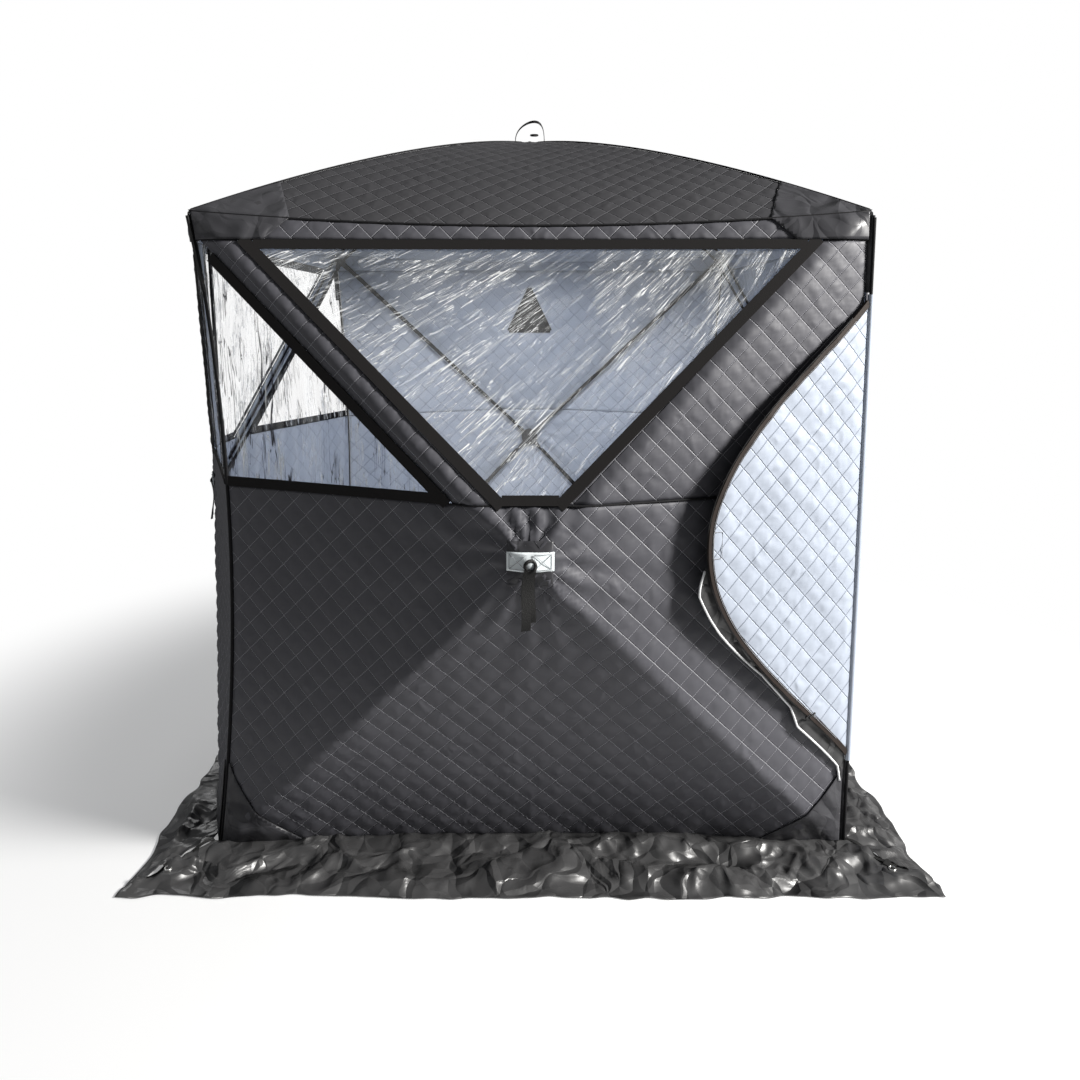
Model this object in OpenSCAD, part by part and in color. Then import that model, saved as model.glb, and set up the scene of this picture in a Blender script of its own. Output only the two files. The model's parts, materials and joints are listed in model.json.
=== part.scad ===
// Pop-up hub shelter for ice fishing, +Z up, millimetres, origin on the ground at the middle.
// The front wall faces -Y. The door is hung on the front right corner and folds back onto the front wall.

/* [Shelter] */
// Half of the width between the top corners
top_half = 900; // [840:10:1100]
// How much closer to the middle the bottom corners stand
bottom_in = 40; // [20:5:70]
// Height of the top corners
corner_h = 1750; // [1600:10:2100]
// How far a wall's hub stands out beyond the top corners
hub_push = 255; // [230:5:300]
// Height of the wall hubs, as a share of the top corners' height
hub_share = 0.5; // [0.48:0.01:0.53]
// Rise of the roof hub over the top corners
roof_rise = 340; // [240:10:420]
// How round the roof is, from 1, a pyramid, to 2, a dome
roof_round = 1.5; // [1.4:0.05:1.7]

/* [Cloth] */
// Thickness of the quilted cloth
quilt_t = 6; // [3:0.5:9]
// Thickness of the clear window film
film_t = 2; // [1:0.5:4]
// How far the free corners are drawn in at half height
corner_bow = 50; // [0:5:70]
// How far the eaves sag at mid span
eave_sag = 36; // [0:2:50]
// How far the eaves are drawn in at mid span
eave_in = 20; // [0:2:40]
// How far the hem is drawn in at mid span
hem_in = 42; // [0:2:60]
// Width left at the top of the side windows, which sets the height of the eave bands
side_top_w = 19; // [10:1:40]
// Width of the skirt on the ground
skirt_w = 190; // [120:10:260]
// Thickness of the folded skirt
skirt_t = 10; // [6:1:16]

/* [Windows] */
// Height above the hubs of the seam that the side windows stand on
seam_up = 135; // [110:5:180]
// Half width of the quilted arms over the poles, measured level
arm_w = 52; // [40:2:70]
// Width of the hook-and-loop tape around a window
tape_w = 26; // [16:1:36]
// Width of the vent at its base
vent_w = 193; // [120:1:260]
// Height of the vent
vent_h = 198; // [120:1:260]
// Depth of the vent's base below the top corners
vent_drop = 354; // [310:2:440]

/* [Frame] */
// Diameter of the poles
pole_d = 11; // [8:0.5:14]
// Diameter of a hub's plate
hub_d = 76; // [60:1:90]
// Thickness of a hub's plate
hub_t = 20; // [14:1:26]
// Radius of the cups that hold the pole ends
cup_r = 20; // [15:1:26]

/* [Door] */
// Height of the door's lower end
door_z0 = 256; // [200:2:320]
// Depth of the door's upper end below the top corners
door_drop = 219; // [190:1:280]
// Width of the door at its widest
door_w = 482; // [380:2:520]
// How far the closed door laps over the wall around its opening
door_lap = 12; // [8:1:20]
// Width of the binding around the door
bind_w = 14; // [10:1:24]
// Width of the storm flap along the door's lower half
flap_w = 42; // [24:1:60]
// Angle between the open door and the front wall
door_lift = 5; // [3:0.5:12]
// Radius of the piping that the door hinges on
piping_r = 5; // [4:0.5:6]
// Air between the door and what it passes
door_gap = 5.5; // [5.2:0.1:8]

/* [Hidden] */
$fn = 48;

fit = 0.4;                       // gap between pieces that lie against each other
lap_gap = 0.5;                   // gap where a sloping edge meets another piece
bottom_half = top_half - bottom_in;
hub_out = top_half + hub_push;
hub_z = corner_h * hub_share;
roof_h = corner_h + roof_rise;
seam_z = hub_z + seam_up;
vent_z = corner_h - vent_drop;
door_z1 = corner_h - door_drop;
edge_in = quilt_t + 1;           // how far a panel stops short of its corner seam
patch_half = 54;                 // half size of the patch over a wall's hub
hub_hole = 10;                   // half size of the hole that the hub's stud passes through
FRONT = 0; RIGHT = 90; BACK = 180; LEFT = 270;

// ---------- the wall as a height field: y over (x, z), in the front wall's place ----------
// A wall is a low pyramid. Its cloth runs straight from the hub to a bowed edge.
function bow(k) = 4 * k * (1 - k);
function corner_x(v, cb) = bottom_half + (top_half - bottom_half) * v - cb * bow(v);
function eave_z(u) = corner_h - eave_sag * (1 - u * u);
function eave_y(u) = top_half - eave_in * (1 - u * u);
function hem_y(u) = bottom_half - hem_in * (1 - u * u);
function mix_out(edge, t) = -(hub_out + (edge - hub_out) * t);

// The place on the eave that the cloth line through (x, z) runs to, from -1 to 1
function eave_u(x, z) =
    let (m = x / (z - hub_z), k = corner_h - hub_z - eave_sag)
    2 * m * k / (top_half + sqrt(top_half * top_half - 4 * m * m * eave_sag * k));
function top_y(x, z) =
    let (u = eave_u(x, z), t = (z - hub_z) / (eave_z(u) - hub_z))
    mix_out(eave_y(u), t);
function bottom_y(x, z) =
    let (t = (hub_z - z) / hub_z, u = x / (bottom_half * t))
    mix_out(hem_y(u), t);
// The height on the corner seam that the cloth line through (x, z) runs to, from 0 to 1
function corner_v(x, z, cb) =
    let (m = (z - hub_z) / abs(x), a = 4 * cb * m, c = m * bottom_half + hub_z,
         b = m * (top_half - bottom_half - 4 * cb) - corner_h)
    2 * c / (-b + sqrt(b * b - 4 * a * c));
function side_y(x, z, cb) =
    let (v = corner_v(x, z, cb), edge = corner_x(v, cb))
    mix_out(edge, abs(x) / edge);
// Half width of the pyramid's ridges at height z
function ridge_x(z) = z > hub_z ? top_half * (z - hub_z) / (corner_h - hub_z)
                                : bottom_half * (hub_z - z) / hub_z;
// bows holds the bow of the wall's left and right corner seams
function wall_y(x, z, bows) =
    abs(x) <= ridge_x(z) ? (z > hub_z ? top_y(x, z) : bottom_y(x, z))
                         : side_y(x, z, x < 0 ? bows[0] : bows[1]);
function wall_point(x, z, bows) = [x, wall_y(x, z, bows), z];
function seam_x(z, cb) = corner_x(z / corner_h, cb);

front_bows = [corner_bow, 0];
right_bows = [0, corner_bow];
plain_bows = [corner_bow, corner_bow];

// ---------- sheets ----------
function steps(a, b, n) = [for (i = [0:n]) a + (b - a) * i / n];
function joined(lists) = [for (l = lists) each l];
function normal(a, b, c) = cross(b - a, c - a);

// A closed sheet between a grid of points and the same grid moved by shift. With ring, its rows are loops.
module sheet(rows, shift, ring = false) {
    n = len(rows);
    m = len(rows[0]);
    outer = joined(rows);
    size = n * m;
    turn = normal(rows[0][0], rows[0][1], rows[1][0]) * shift < 0;
    function at(j, i) = j * m + i % m;
    function quad(a, b, c, d) = [[a, b, c], [a, c, d]];
    function edges(loop) = [for (k = [0:len(loop) - 1]) [loop[k], loop[(k + 1) % len(loop)]]];
    first = [for (i = [0:m - 1]) at(0, i)];
    last = [for (i = [m - 1:-1:0]) at(n - 1, i)];
    rim = ring ? concat(edges(first), edges(last))
               : edges(concat(first, [for (j = [1:n - 2]) at(j, m - 1)], last,
                              [for (j = [n - 2:-1:1]) at(j, 0)]));
    faces = joined([
        for (j = [0:n - 2], i = [0:m - (ring ? 1 : 2)])
            quad(at(j, i), at(j, i + 1), at(j + 1, i + 1), at(j + 1, i)),
        for (j = [0:n - 2], i = [0:m - (ring ? 1 : 2)])
            quad(size + at(j, i), size + at(j + 1, i), size + at(j + 1, i + 1), size + at(j, i + 1)),
        for (e = rim) quad(e[1], e[0], size + e[0], size + e[1])
    ]);
    polyhedron(concat(outer, [for (p = outer) p + shift]),
               turn ? [for (f = faces) [f[2], f[1], f[0]]] : faces);
}

// A wall sheet over a grid of [x, z] places, in the front wall's place. lift moves it outwards.
module wall_sheet(grid, bows, t = quilt_t, lift = 0, ring = false) {
    sheet([for (row = grid) [for (p = row) wall_point(p[0], p[1], bows) - [0, lift, 0]]], [0, t, 0], ring);
}

module on_wall(side) {
    rotate([0, 0, side]) children();
}

// Level rows of a grid from one line to another, both given as functions of the height
function level_rows(heights, columns) = [for (z = heights) [for (x = columns(z)) [x, z]]];

band_z = corner_h - (arm_w + edge_in + side_top_w) * (corner_h - hub_z) / top_half;
function under_eave(x, drop) = eave_z(max(-1, min(1, x / top_half))) - drop;

// ---------- roof ----------
function roof_u(m) = 2 * m * (top_half - eave_in)
    / (top_half + sqrt(top_half * top_half - 4 * m * m * eave_in * (top_half - eave_in)));
// A point on the front quarter of the roof: u runs along the eave, t from the hub to the eave
function roof_point(u, t) =
    [u * top_half * t, -eave_y(u) * t, roof_h - (roof_h - eave_z(u)) * pow(t, roof_round)];
roof_steps = 12;
roof_hole = 0.014;
roof_edge = 0.002;

module roof_quarter() {
    color("#2e2f33")
        sheet([for (t = concat([roof_hole], [for (j = [1:roof_steps]) j / roof_steps]))
                  [for (u = steps(-1 + roof_edge, 1 - roof_edge, roof_steps)) roof_point(u, t)]],
              [0, 0, -quilt_t]);
}
module roof_front_panel() { on_wall(FRONT) roof_quarter(); }
module roof_right_panel() { on_wall(RIGHT) roof_quarter(); }
module roof_back_panel() { on_wall(BACK) roof_quarter(); }
module roof_left_panel() { on_wall(LEFT) roof_quarter(); }

// Plain patches over the pole ends at the roof's corners, each in two halves that meet on the pole's line
patch_rows = 2;
patch_t = 2;
module corner_patch_half(hand) {
    sheet([for (j = [roof_steps - patch_rows:roof_steps])
              let (reach = (j - roof_steps + patch_rows + 0.2) / (patch_rows + 0.2))
              [for (i = [0:4]) roof_point(hand * (1 - 0.006 - 0.36 * reach * i / 4), j / roof_steps)
                               + [0, 0, patch_t + 1.2]]],
          [0, 0, -patch_t]);
}
module top_corner_patches() {
    color("#3a3b40")
        for (side = [FRONT, RIGHT, BACK, LEFT], hand = [-1, 1]) on_wall(side) corner_patch_half(hand);
}

// The band of roof cloth that hangs over the top of each wall
module eave_band(bows) {
    columns = steps(-1 + edge_in / top_half, 1 - edge_in / top_half, 16);
    wall_sheet([for (k = steps(0, 1, 3))
                   [for (u = columns)
                        let (x = u * top_half, low = band_z, high = under_eave(x, quilt_t + lap_gap))
                        let (z = low + (high - low) * k)
                        [x * min(1, (seam_x(z, bows[u < 0 ? 0 : 1]) - edge_in) / (top_half - edge_in)), z]]],
               bows);
}
module eave_bands() {
    color("#303136") {
        on_wall(FRONT) eave_band(front_bows);
        on_wall(RIGHT) eave_band(right_bows);
        on_wall(BACK) eave_band(plain_bows);
        on_wall(LEFT) eave_band(plain_bows);
    }
}

// ---------- frame ----------
cloth_slope = (hub_out - bottom_half + hem_in) / hub_z;
hub_in = quilt_t + fit + hub_t / 2 + (hub_d / 2) * cloth_slope;
hub_y = -(hub_out - hub_in);
cup_in = cup_r * 1.15 + quilt_t + 8;
roof_hub_z = roof_h - quilt_t - hub_t / 2 - 6;
top_cup = [-(top_half - cup_in), -(top_half - cup_in), corner_h - cup_in - 4];
bottom_cup = [-(bottom_half - cup_in), -(bottom_half - cup_in), cup_r];
wall_hub = [0, hub_y, hub_z];
stud_r = 5;
socket_r = pole_d / 2 + 3;
socket_len = 34;

module rod(a, b, r) {
    d = b - a;
    translate(a)
        rotate([0, acos(d[2] / norm(d)), atan2(d[1], d[0])])
            cylinder(r = r, h = norm(d));
}
function along(a, b, dist) = a + (b - a) * dist / norm(b - a);
function mirror_x(p) = [-p[0], p[1], p[2]];

// A hub: a plate with four sockets and a stud that goes out through the cloth
module hub(middle, ends, out, stud_len) {
    color("#1c1c1e")
        difference() {
            union() {
                rod(middle - out * hub_t / 2, middle + out * hub_t / 2, hub_d / 2);
                rod(middle, middle + out * stud_len, stud_r);
                for (e = ends) rod(middle, along(middle, e, hub_d / 2 + socket_len), socket_r);
            }
            for (e = ends) rod(along(middle, e, pole_start), along(middle, e, hub_d), pole_d / 2 + fit);
        }
}
wall_ends = [top_cup, mirror_x(top_cup), bottom_cup, mirror_x(bottom_cup)];
wall_stud = hub_out + hub_y + patch_t + 4;
module wall_hub_piece() { hub(wall_hub, wall_ends, [0, -1, 0], wall_stud); }
module front_hub() { on_wall(FRONT) wall_hub_piece(); }
module right_hub() { on_wall(RIGHT) wall_hub_piece(); }
module back_hub() { on_wall(BACK) wall_hub_piece(); }
module left_hub() { on_wall(LEFT) wall_hub_piece(); }

pole_start = hub_d / 2 - 8;      // how far from a hub's middle its sockets are bored
cup_bore = cup_r + 2;            // how far from a cup's middle its sleeves are bored
module pole(middle, end) {
    rod(along(middle, end, pole_start + fit), along(end, middle, cup_bore + fit), pole_d / 2);
}
module wall_pole_set() {
    color("#151517") for (e = wall_ends) pole(wall_hub, e);
}
module front_poles() { on_wall(FRONT) wall_pole_set(); }
module right_poles() { on_wall(RIGHT) wall_pole_set(); }
module back_poles() { on_wall(BACK) wall_pole_set(); }
module left_poles() { on_wall(LEFT) wall_pole_set(); }

// A roof pole bends under the dome, along an arc from the hub to the cup of its corner
pole_sag = 60;                   // how far the arc rises over its chord at the middle
roof_pole_run = norm([top_cup[0], top_cup[1]]);
roof_drop = roof_hub_z - top_cup[2];
roof_chord = norm([roof_pole_run, roof_drop]);
roof_pole_r = roof_chord * roof_chord / (8 * pole_sag) + pole_sag / 2;
half_arc = asin(roof_chord / 2 / roof_pole_r);
roof_start = atan2(roof_drop, roof_pole_run) - half_arc;   // the pole's slope where it leaves the hub
arc_middle = [-roof_pole_r * sin(roof_start), roof_hub_z - roof_pole_r * cos(roof_start)];
function degrees_of(length) = length / roof_pole_r * 180 / PI;
function roof_arc_point(length) =
    let (a = roof_start + degrees_of(length))
    [arc_middle[0] + roof_pole_r * sin(a), 0, arc_middle[1] + roof_pole_r * cos(a)];
// Sockets are straight, along the chord of the pole's first stretch
roof_socket = [roof_arc_point(pole_start), roof_arc_point(hub_d / 2 + socket_len)];
module roof_hub() {
    color("#1c1c1e")
        difference() {
            union() {
                translate([0, 0, roof_hub_z - hub_t / 2]) cylinder(d = hub_d, h = hub_t);
                translate([0, 0, roof_hub_z]) cylinder(r = stud_r, h = roof_h - roof_hub_z + patch_t + 6);
                for (k = [0:3]) rotate([0, 0, 45 + 90 * k])
                    rod(along(roof_socket[0], roof_socket[1], -pole_start), roof_socket[1], socket_r);
            }
            for (k = [0:3]) rotate([0, 0, 45 + 90 * k])
                rod(roof_socket[0], along(roof_socket[0], roof_socket[1], hub_d), pole_d / 2 + fit);
        }
}
module roof_poles() {
    from = roof_start + degrees_of(pole_start + fit);
    end_slope = roof_start + 2 * half_arc;
    // The slanting end meets the cup's side, or the rim of its top
    cup_touch = min((cup_r + pole_d / 2 * sin(end_slope)) / cos(end_slope),
                    cup_r * (cos(end_slope) + 0.8 * sin(end_slope)));
    to = end_slope - degrees_of(cup_touch + fit);
    color("#151517")
        for (k = [0:3]) rotate([0, 0, 45 + 90 * k])
            translate([arc_middle[0], 0, arc_middle[1]]) rotate([90, 0, 0]) rotate([0, 0, 90 - to])
                rotate_extrude(angle = to - from, $fn = 200)
                    translate([roof_pole_r, 0]) circle(d = pole_d, $fn = 24);
}

// Cups at the corners that take the ends of the poles
cup_sleeve = 46;
function pole_dirs(end) = [wall_hub, [hub_y, 0, hub_z]];
module corner_cup(end) {
    difference() {
        union() {
            translate(end - [0, 0, cup_r * 0.8]) cylinder(r = cup_r, h = cup_r * 1.6);
            for (h = pole_dirs(end)) rod(end, along(end, h, cup_sleeve), socket_r);
        }
        for (h = pole_dirs(end))
            rod(along(end, h, cup_bore), along(end, h, cup_sleeve + 9), pole_d / 2 + fit);
    }
}
module top_corner_cups() {
    color("#18181a") for (k = [0:3]) rotate([0, 0, 90 * k]) corner_cup(top_cup);
}
module bottom_corner_cups() {
    color("#18181a") for (k = [0:3]) rotate([0, 0, 90 * k]) corner_cup(bottom_cup);
}

// ---------- walls ----------
rows_n = 10;
top_z = band_z - fit;
low_z = seam_z + fit;
function left_x(z, bows) = -(seam_x(z, bows[0]) - edge_in);
function right_x(z, bows) = seam_x(z, bows[1]) - edge_in;

// The outline of a wall below its side windows, clockwise from outside, starting on the left
function lower_outline(bows) = concat(
    [for (z = steps(seam_z, edge_in, rows_n)) [left_x(z, bows), z]],
    [for (u = steps(-1, 1, rows_n)) [u * (bottom_half - edge_in), 0]],
    [for (z = steps(edge_in, seam_z, rows_n)) [right_x(z, bows), z]],
    [for (x = steps(ridge_x(seam_z), -ridge_x(seam_z), 4)) [x, seam_z]]);

// A sheet between a small square hole at the hub and an outline around it
module hub_sheet(outline, bows, ring) {
    function hole_share(p) = hub_hole / max(abs(p[0]), abs(p[1] - hub_z));
    wall_sheet([for (k = [0, 0.1, 0.3, 0.6, 0.8, 1])
                   [for (p = outline)
                       let (share = k == 0 ? hole_share(p) : k)
                       [p[0] * share, hub_z + (p[1] - hub_z) * share]]],
               bows, ring = ring);
}
module lower_panel(bows) {
    color("#26272b") hub_sheet(lower_outline(bows), bows, true);
}
module front_lower_panel() { on_wall(FRONT) lower_panel(front_bows); }
module left_lower_panel() { on_wall(LEFT) lower_panel(plain_bows); }
module back_lower_panel() { on_wall(BACK) lower_panel(plain_bows); }

// The quilted arm over an upper pole; hand is -1 on the left and 1 on the right
module arm(bows, hand) {
    wall_sheet(level_rows(steps(low_z, top_z, rows_n),
                          function (z) [for (w = [-arm_w, 0, arm_w]) hand * (ridge_x(z) + w)]),
               bows);
}
// The window between the two arms
module top_film(bows) {
    wall_sheet(level_rows(steps(low_z, top_z, rows_n),
                          function (z) let (w = ridge_x(z) - arm_w - fit) steps(-w, w, 12)),
               bows, t = film_t);
}
// The window between an arm and a corner seam
module side_film(bows, hand) {
    wall_sheet(level_rows(steps(low_z, top_z, rows_n),
                          function (z)
                              let (seam = hand < 0 ? -left_x(z, bows) : right_x(z, bows),
                                   arm_side = ridge_x(z) + arm_w + fit)
                              [for (x = steps(arm_side, max(seam, arm_side + 3), side_steps)) hand * x]),
               bows, t = film_t);
}
tape_t = 2;
tape_lift = tape_t + 0.8;
side_steps = 10;
tape_level = tape_w * 1.4;       // width of a tape along a pole, measured level
module tape(heights, columns, bows) {
    wall_sheet(level_rows(heights, columns), bows, t = tape_t, lift = tape_lift);
}
module top_tapes(bows) {
    inner = function (z) ridge_x(z) - arm_w - fit;
    for (hand = [-1, 1])
        tape(steps(low_z, top_z, rows_n),
             function (z) [hand * (inner(z) - tape_level), hand * inner(z)], bows);
    for (ends = [[low_z, low_z + tape_w], [top_z - tape_w, top_z]])
        tape(ends, function (z) let (w = inner(z) - tape_level - fit) steps(-w, w, 12), bows);
}
module side_tapes(bows, hand) {
    side_top = top_z - tape_w * 1.6;
    inner = function (z) ridge_x(z) + arm_w + fit;
    tape(steps(low_z, side_top, rows_n),
         function (z) [hand * inner(z), hand * (inner(z) + tape_level)], bows);
    tape([low_z, low_z + tape_w],
         function (z)
             let (seam = hand < 0 ? -left_x(z, bows) : right_x(z, bows))
             [for (x = steps(inner(z) + tape_level + fit, seam, side_steps)) hand * x],
         bows);
}

module front_right_panel() {
    color("#3b3c41")
        wall_sheet(level_rows(steps(low_z, top_z, rows_n),
                              function (z)
                                  concat([ridge_x(z) - arm_w], steps(ridge_x(z), right_x(z, front_bows), 4))),
                   front_bows);
}
module front_left_arm() { color("#26272b") arm(front_bows, -1); }
module front_window_film() { color("#c9d3de", 0.4) top_film(front_bows); }
module front_corner_film() { color("#c9d3de", 0.4) side_film(front_bows, -1); }
module front_window_tapes() {
    color("#161617") {
        top_tapes(front_bows);
        side_tapes(front_bows, -1);
    }
}

module left_arms() { color("#26272b") on_wall(LEFT) for (hand = [-1, 1]) arm(plain_bows, hand); }
module left_window_film() { color("#c9d3de", 0.4) on_wall(LEFT) top_film(plain_bows); }
module left_side_films() {
    color("#c9d3de", 0.4) on_wall(LEFT) for (hand = [-1, 1]) side_film(plain_bows, hand);
}
module left_window_tapes() {
    color("#161617") on_wall(LEFT) {
        top_tapes(plain_bows);
        for (hand = [-1, 1]) side_tapes(plain_bows, hand);
    }
}

vent_top = vent_z + vent_h;
function vent_x(z) = z > vent_top ? 0 : vent_w / 2 * (vent_top - z) / vent_h;
module back_upper_panel() {
    quarter = function (z) [for (x = steps(ridge_x(z), right_x(z, plain_bows), 3)) x];
    color("#26272b") on_wall(BACK) {
        wall_sheet(level_rows(steps(low_z, vent_z, 6),
                              function (z) concat([for (k = [3:-1:0]) -quarter(z)[k]],
                                                  steps(-ridge_x(z) * 0.7, ridge_x(z) * 0.7, 6), quarter(z))),
                   plain_bows);
        for (hand = [-1, 1])
            wall_sheet(level_rows(concat(steps(vent_z + fit, vent_top, 4), [top_z]),
                                  function (z) let (out = steps(vent_x(z) + fit, ridge_x(z) * 0.9, 6))
                                      [for (x = concat(out, quarter(z))) hand * x]),
                       plain_bows);
    }
}
module back_vent_mesh() {
    color("#1a1a1a") on_wall(BACK)
        wall_sheet(level_rows(steps(vent_z + 2 * fit, vent_top - 6, 3),
                              function (z) let (w = vent_x(z) - fit) steps(-w, w, 2)),
                   plain_bows, t = film_t, lift = -2);
}

// ---------- right wall, with the doorway in its front quarter ----------
open_z0 = door_z0 + door_lap;
open_z1 = door_z1 - door_lap;
door_power = 1.15;
function door_shape(v) = v <= 0 || v >= 1 ? 0 : pow(sin(180 * v), door_power);
function open_w(z) = (door_w - door_lap) * door_shape((z - open_z0) / (open_z1 - open_z0));
function door_side_x(z) = left_x(z, right_bows) + open_w(z);
function near_ridge(z) = -max(ridge_x(z) + fit * 1.5, hub_hole);
sill_base = 34;

module right_lower_panel() {
    outline = lower_outline(right_bows);
    lower_ridge = [-(bottom_half - edge_in), hub_z * edge_in / bottom_half];
    sector = concat([lower_ridge], [for (k = [rows_n + 1:len(outline) - 1]) outline[k]]);
    color("#26272b") on_wall(RIGHT) hub_sheet(sector, right_bows, false);
}
module right_upper_panel() {
    color("#26272b") on_wall(RIGHT)
        wall_sheet(level_rows(steps(low_z, top_z, rows_n),
                              function (z) concat(steps(-ridge_x(z), ridge_x(z) * 0.9, 8),
                                                  steps(ridge_x(z), right_x(z, right_bows), 3))),
                   right_bows);
}
module door_quarter(heights, n) {
    color("#26272b") on_wall(RIGHT)
        wall_sheet(level_rows(heights, function (z) steps(door_side_x(z), near_ridge(z), n)), right_bows);
}
module right_door_header() { door_quarter(steps(open_z1 + fit, top_z, 3), 2); }
module right_door_side() { door_quarter(steps(open_z0, open_z1, 24), 3); }
module right_door_sill() { door_quarter(steps(sill_base, open_z0 - fit, 3), 2); }

// ---------- corner piping ----------
module bowed_piping() {
    sides = 8;
    rings = 14;
    top = corner_h - quilt_t - 2;
    sheet_points = [for (z = steps(1, top, rings))
                       let (c = seam_x(z, corner_bow) - (edge_in - piping_r - lap_gap))
                       [for (k = [0:sides - 1]) [-c + piping_r * cos(360 * k / sides),
                                                 -c + piping_r * sin(360 * k / sides), z]]];
    n = len(sheet_points);
    side_faces = joined([for (j = [0:n - 2], k = [0:sides - 1])
        let (a = j * sides + k, b = j * sides + (k + 1) % sides)
            [[a, a + sides, b + sides], [a, b + sides, b]]]);
    polyhedron(joined(sheet_points),
               concat(side_faces, [[for (k = [0:sides - 1]) k]],
                      [[for (k = [sides - 1:-1:0]) (n - 1) * sides + k]]));
}
module corner_piping() {
    color("#202124") for (turn = [0, 180, 270]) rotate([0, 0, turn]) bowed_piping();
}

// ---------- door ----------
// The hinge line runs just outside the front right corner, as far from both walls as the door needs.
lean = atan2((top_half - bottom_half) * sqrt(2), corner_h);
hub_across = hub_out / sqrt(2);
hub_inwards = cos(lean) * (2 * bottom_half - hub_out) / sqrt(2) + sin(lean) * hub_z;
fold_angle = 90 + atan2(hub_inwards, hub_across);   // from straight out of the corner to either wall
hinge_out = (door_gap + quilt_t / 2) / sin(180 - fold_angle);
sleeve_r = piping_r + 3;
hinge_len = corner_h / cos(lean);

module on_hinge() {
    translate([bottom_half + hinge_out / sqrt(2), -bottom_half - hinge_out / sqrt(2), 0])
        rotate([0, lean, -45]) children();
}
module door_corner_piping() {
    color("#202124") on_hinge() {
        translate([0, 0, 2]) cylinder(r = piping_r, h = hinge_len - quilt_t - 12);
        translate([0, 0, 2]) cylinder(r = sleeve_r, h = door_z0 - 4);
        translate([0, 0, door_z1 + 2]) cylinder(r = sleeve_r, h = hinge_len - quilt_t - 12 - door_z1);
    }
}

// The leaf lies in the plane of the hinge line; x runs away from the hinge and y up it
function door_point(v) = [door_w * door_shape(v), door_z0 + (door_z1 - door_z0) * v];
function door_normal(v) = let (d = door_point(v + 0.004) - door_point(v - 0.004)) [d[1], -d[0]] / norm(d);
function door_curve(v0, v1, out, n = 40) = [for (v = steps(v0, v1, n)) door_point(v) + door_normal(v) * out];
module leaf(t, back = 0) {
    on_hinge()
        rotate([0, 0, -(fold_angle - door_lift)])
            rotate([90, 0, 0])
                translate([0, 0, back - t / 2]) linear_extrude(height = t) children();
}
module door_outline(out) {
    polygon(concat([[-50, door_z0]], door_curve(0.006, 0.994, out), [[-50, door_z1]]));
}
leaf_start = sleeve_r + fit;
module beyond_hinge() {
    intersection() {
        children();
        translate([leaf_start, door_z0 + 4]) square([door_w + 100, door_z1 - door_z0 - 8]);
    }
}
module door_panel() {
    color("#e6ebf2") leaf(quilt_t) beyond_hinge() door_outline(-bind_w - fit);
}
module door_binding() {
    color("#2a2320") leaf(quilt_t) beyond_hinge() difference() {
        door_outline(0);
        door_outline(-bind_w);
    }
}
flap_t = 2;
flap_v0 = 0.085;
flap_v1 = 0.56;
flap_back = quilt_t / 2 + fit + flap_t / 2;
piping_w = 5;
module door_flap() {
    color("#1b1b1d") leaf(flap_t, flap_back)
        polygon(concat(door_curve(flap_v0, flap_v1, flap_w - piping_w - fit),
                       [for (p = door_curve(flap_v1, flap_v0, -8)) p]));
}
module door_flap_piping() {
    color("#e8e8e8") leaf(piping_w - 1, flap_back)
        polygon(concat(door_curve(flap_v0, flap_v1, flap_w), door_curve(flap_v1, flap_v0, flap_w - piping_w)));
}
module door_sleeve() {
    color("#26272b") on_hinge() translate([0, 0, door_z0]) difference() {
        cylinder(r = sleeve_r, h = door_z1 - door_z0);
        translate([0, 0, -1]) cylinder(r = piping_r + fit, h = door_z1 - door_z0 + 2);
    }
}

// ---------- skirt ----------
skirt_out = bottom_half + skirt_w;
corner_clear = hinge_out / sqrt(2) + sleeve_r + 2.5;   // how far the skirt keeps from the corners
module skirt() {
    inner = [for (u = steps(-1, 1, 16))
                let (lap = cloth_slope * skirt_t + 2 * lap_gap)
                [u * (bottom_half + corner_clear - fit),
                 -(hem_y(u) + lap + (corner_clear - lap) * pow(abs(u), 6))]];
    color("#1d1d1f") linear_extrude(height = skirt_t)
        polygon(concat(inner, [[skirt_out - fit, -skirt_out], [-(skirt_out - fit), -skirt_out]]));
}
module skirt_front() { on_wall(FRONT) skirt(); }
module skirt_right() { on_wall(RIGHT) skirt(); }
module skirt_back() { on_wall(BACK) skirt(); }
module skirt_left() { on_wall(LEFT) skirt(); }

// ---------- hub patches and straps ----------
module hub_patch(bows) {
    square_loop = [[-1, 1], [-1, 0], [-1, -1], [0, -1], [1, -1], [1, 0], [1, 1], [0, 1]];
    function place(p, k) =   // the corners lie on the pole lines, where the cloth folds
        let (z = hub_z + p[1] * patch_half * k)
        [p[0] * (p[1] == 0 ? patch_half * k : ridge_x(z)), z];
    wall_sheet([for (k = [hub_hole / patch_half, 0.5, 1]) [for (p = square_loop) place(p, k)]],
               bows, t = patch_t, lift = patch_t + 0.8, ring = true);
}
module hub_patches() {
    color("#222326") {
        on_wall(FRONT) hub_patch(front_bows);
        on_wall(RIGHT) hub_patch(right_bows);
        for (side = [BACK, LEFT]) on_wall(side) hub_patch(plain_bows);
    }
}
ring_r = 13;
ring_t = 5;
tab_w = 25;
tab_len = 140;
strap_t = 3;
stud_end = hub_out + patch_t + 4;
module pull_straps() {
    color("#141415")
        for (side = [FRONT, RIGHT, BACK, LEFT]) on_wall(side) {
            translate([0, -stud_end - fit, hub_z]) rotate([90, 0, 0]) cylinder(r = ring_r, h = ring_t);
            translate([-tab_w / 2, -stud_end - fit - ring_t, hub_z - tab_len])
                cube([tab_w, strap_t, tab_len]);
        }
}
loop_w = 104;
loop_h = 76;
loop_base = roof_h + patch_t + 6 + fit;
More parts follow.
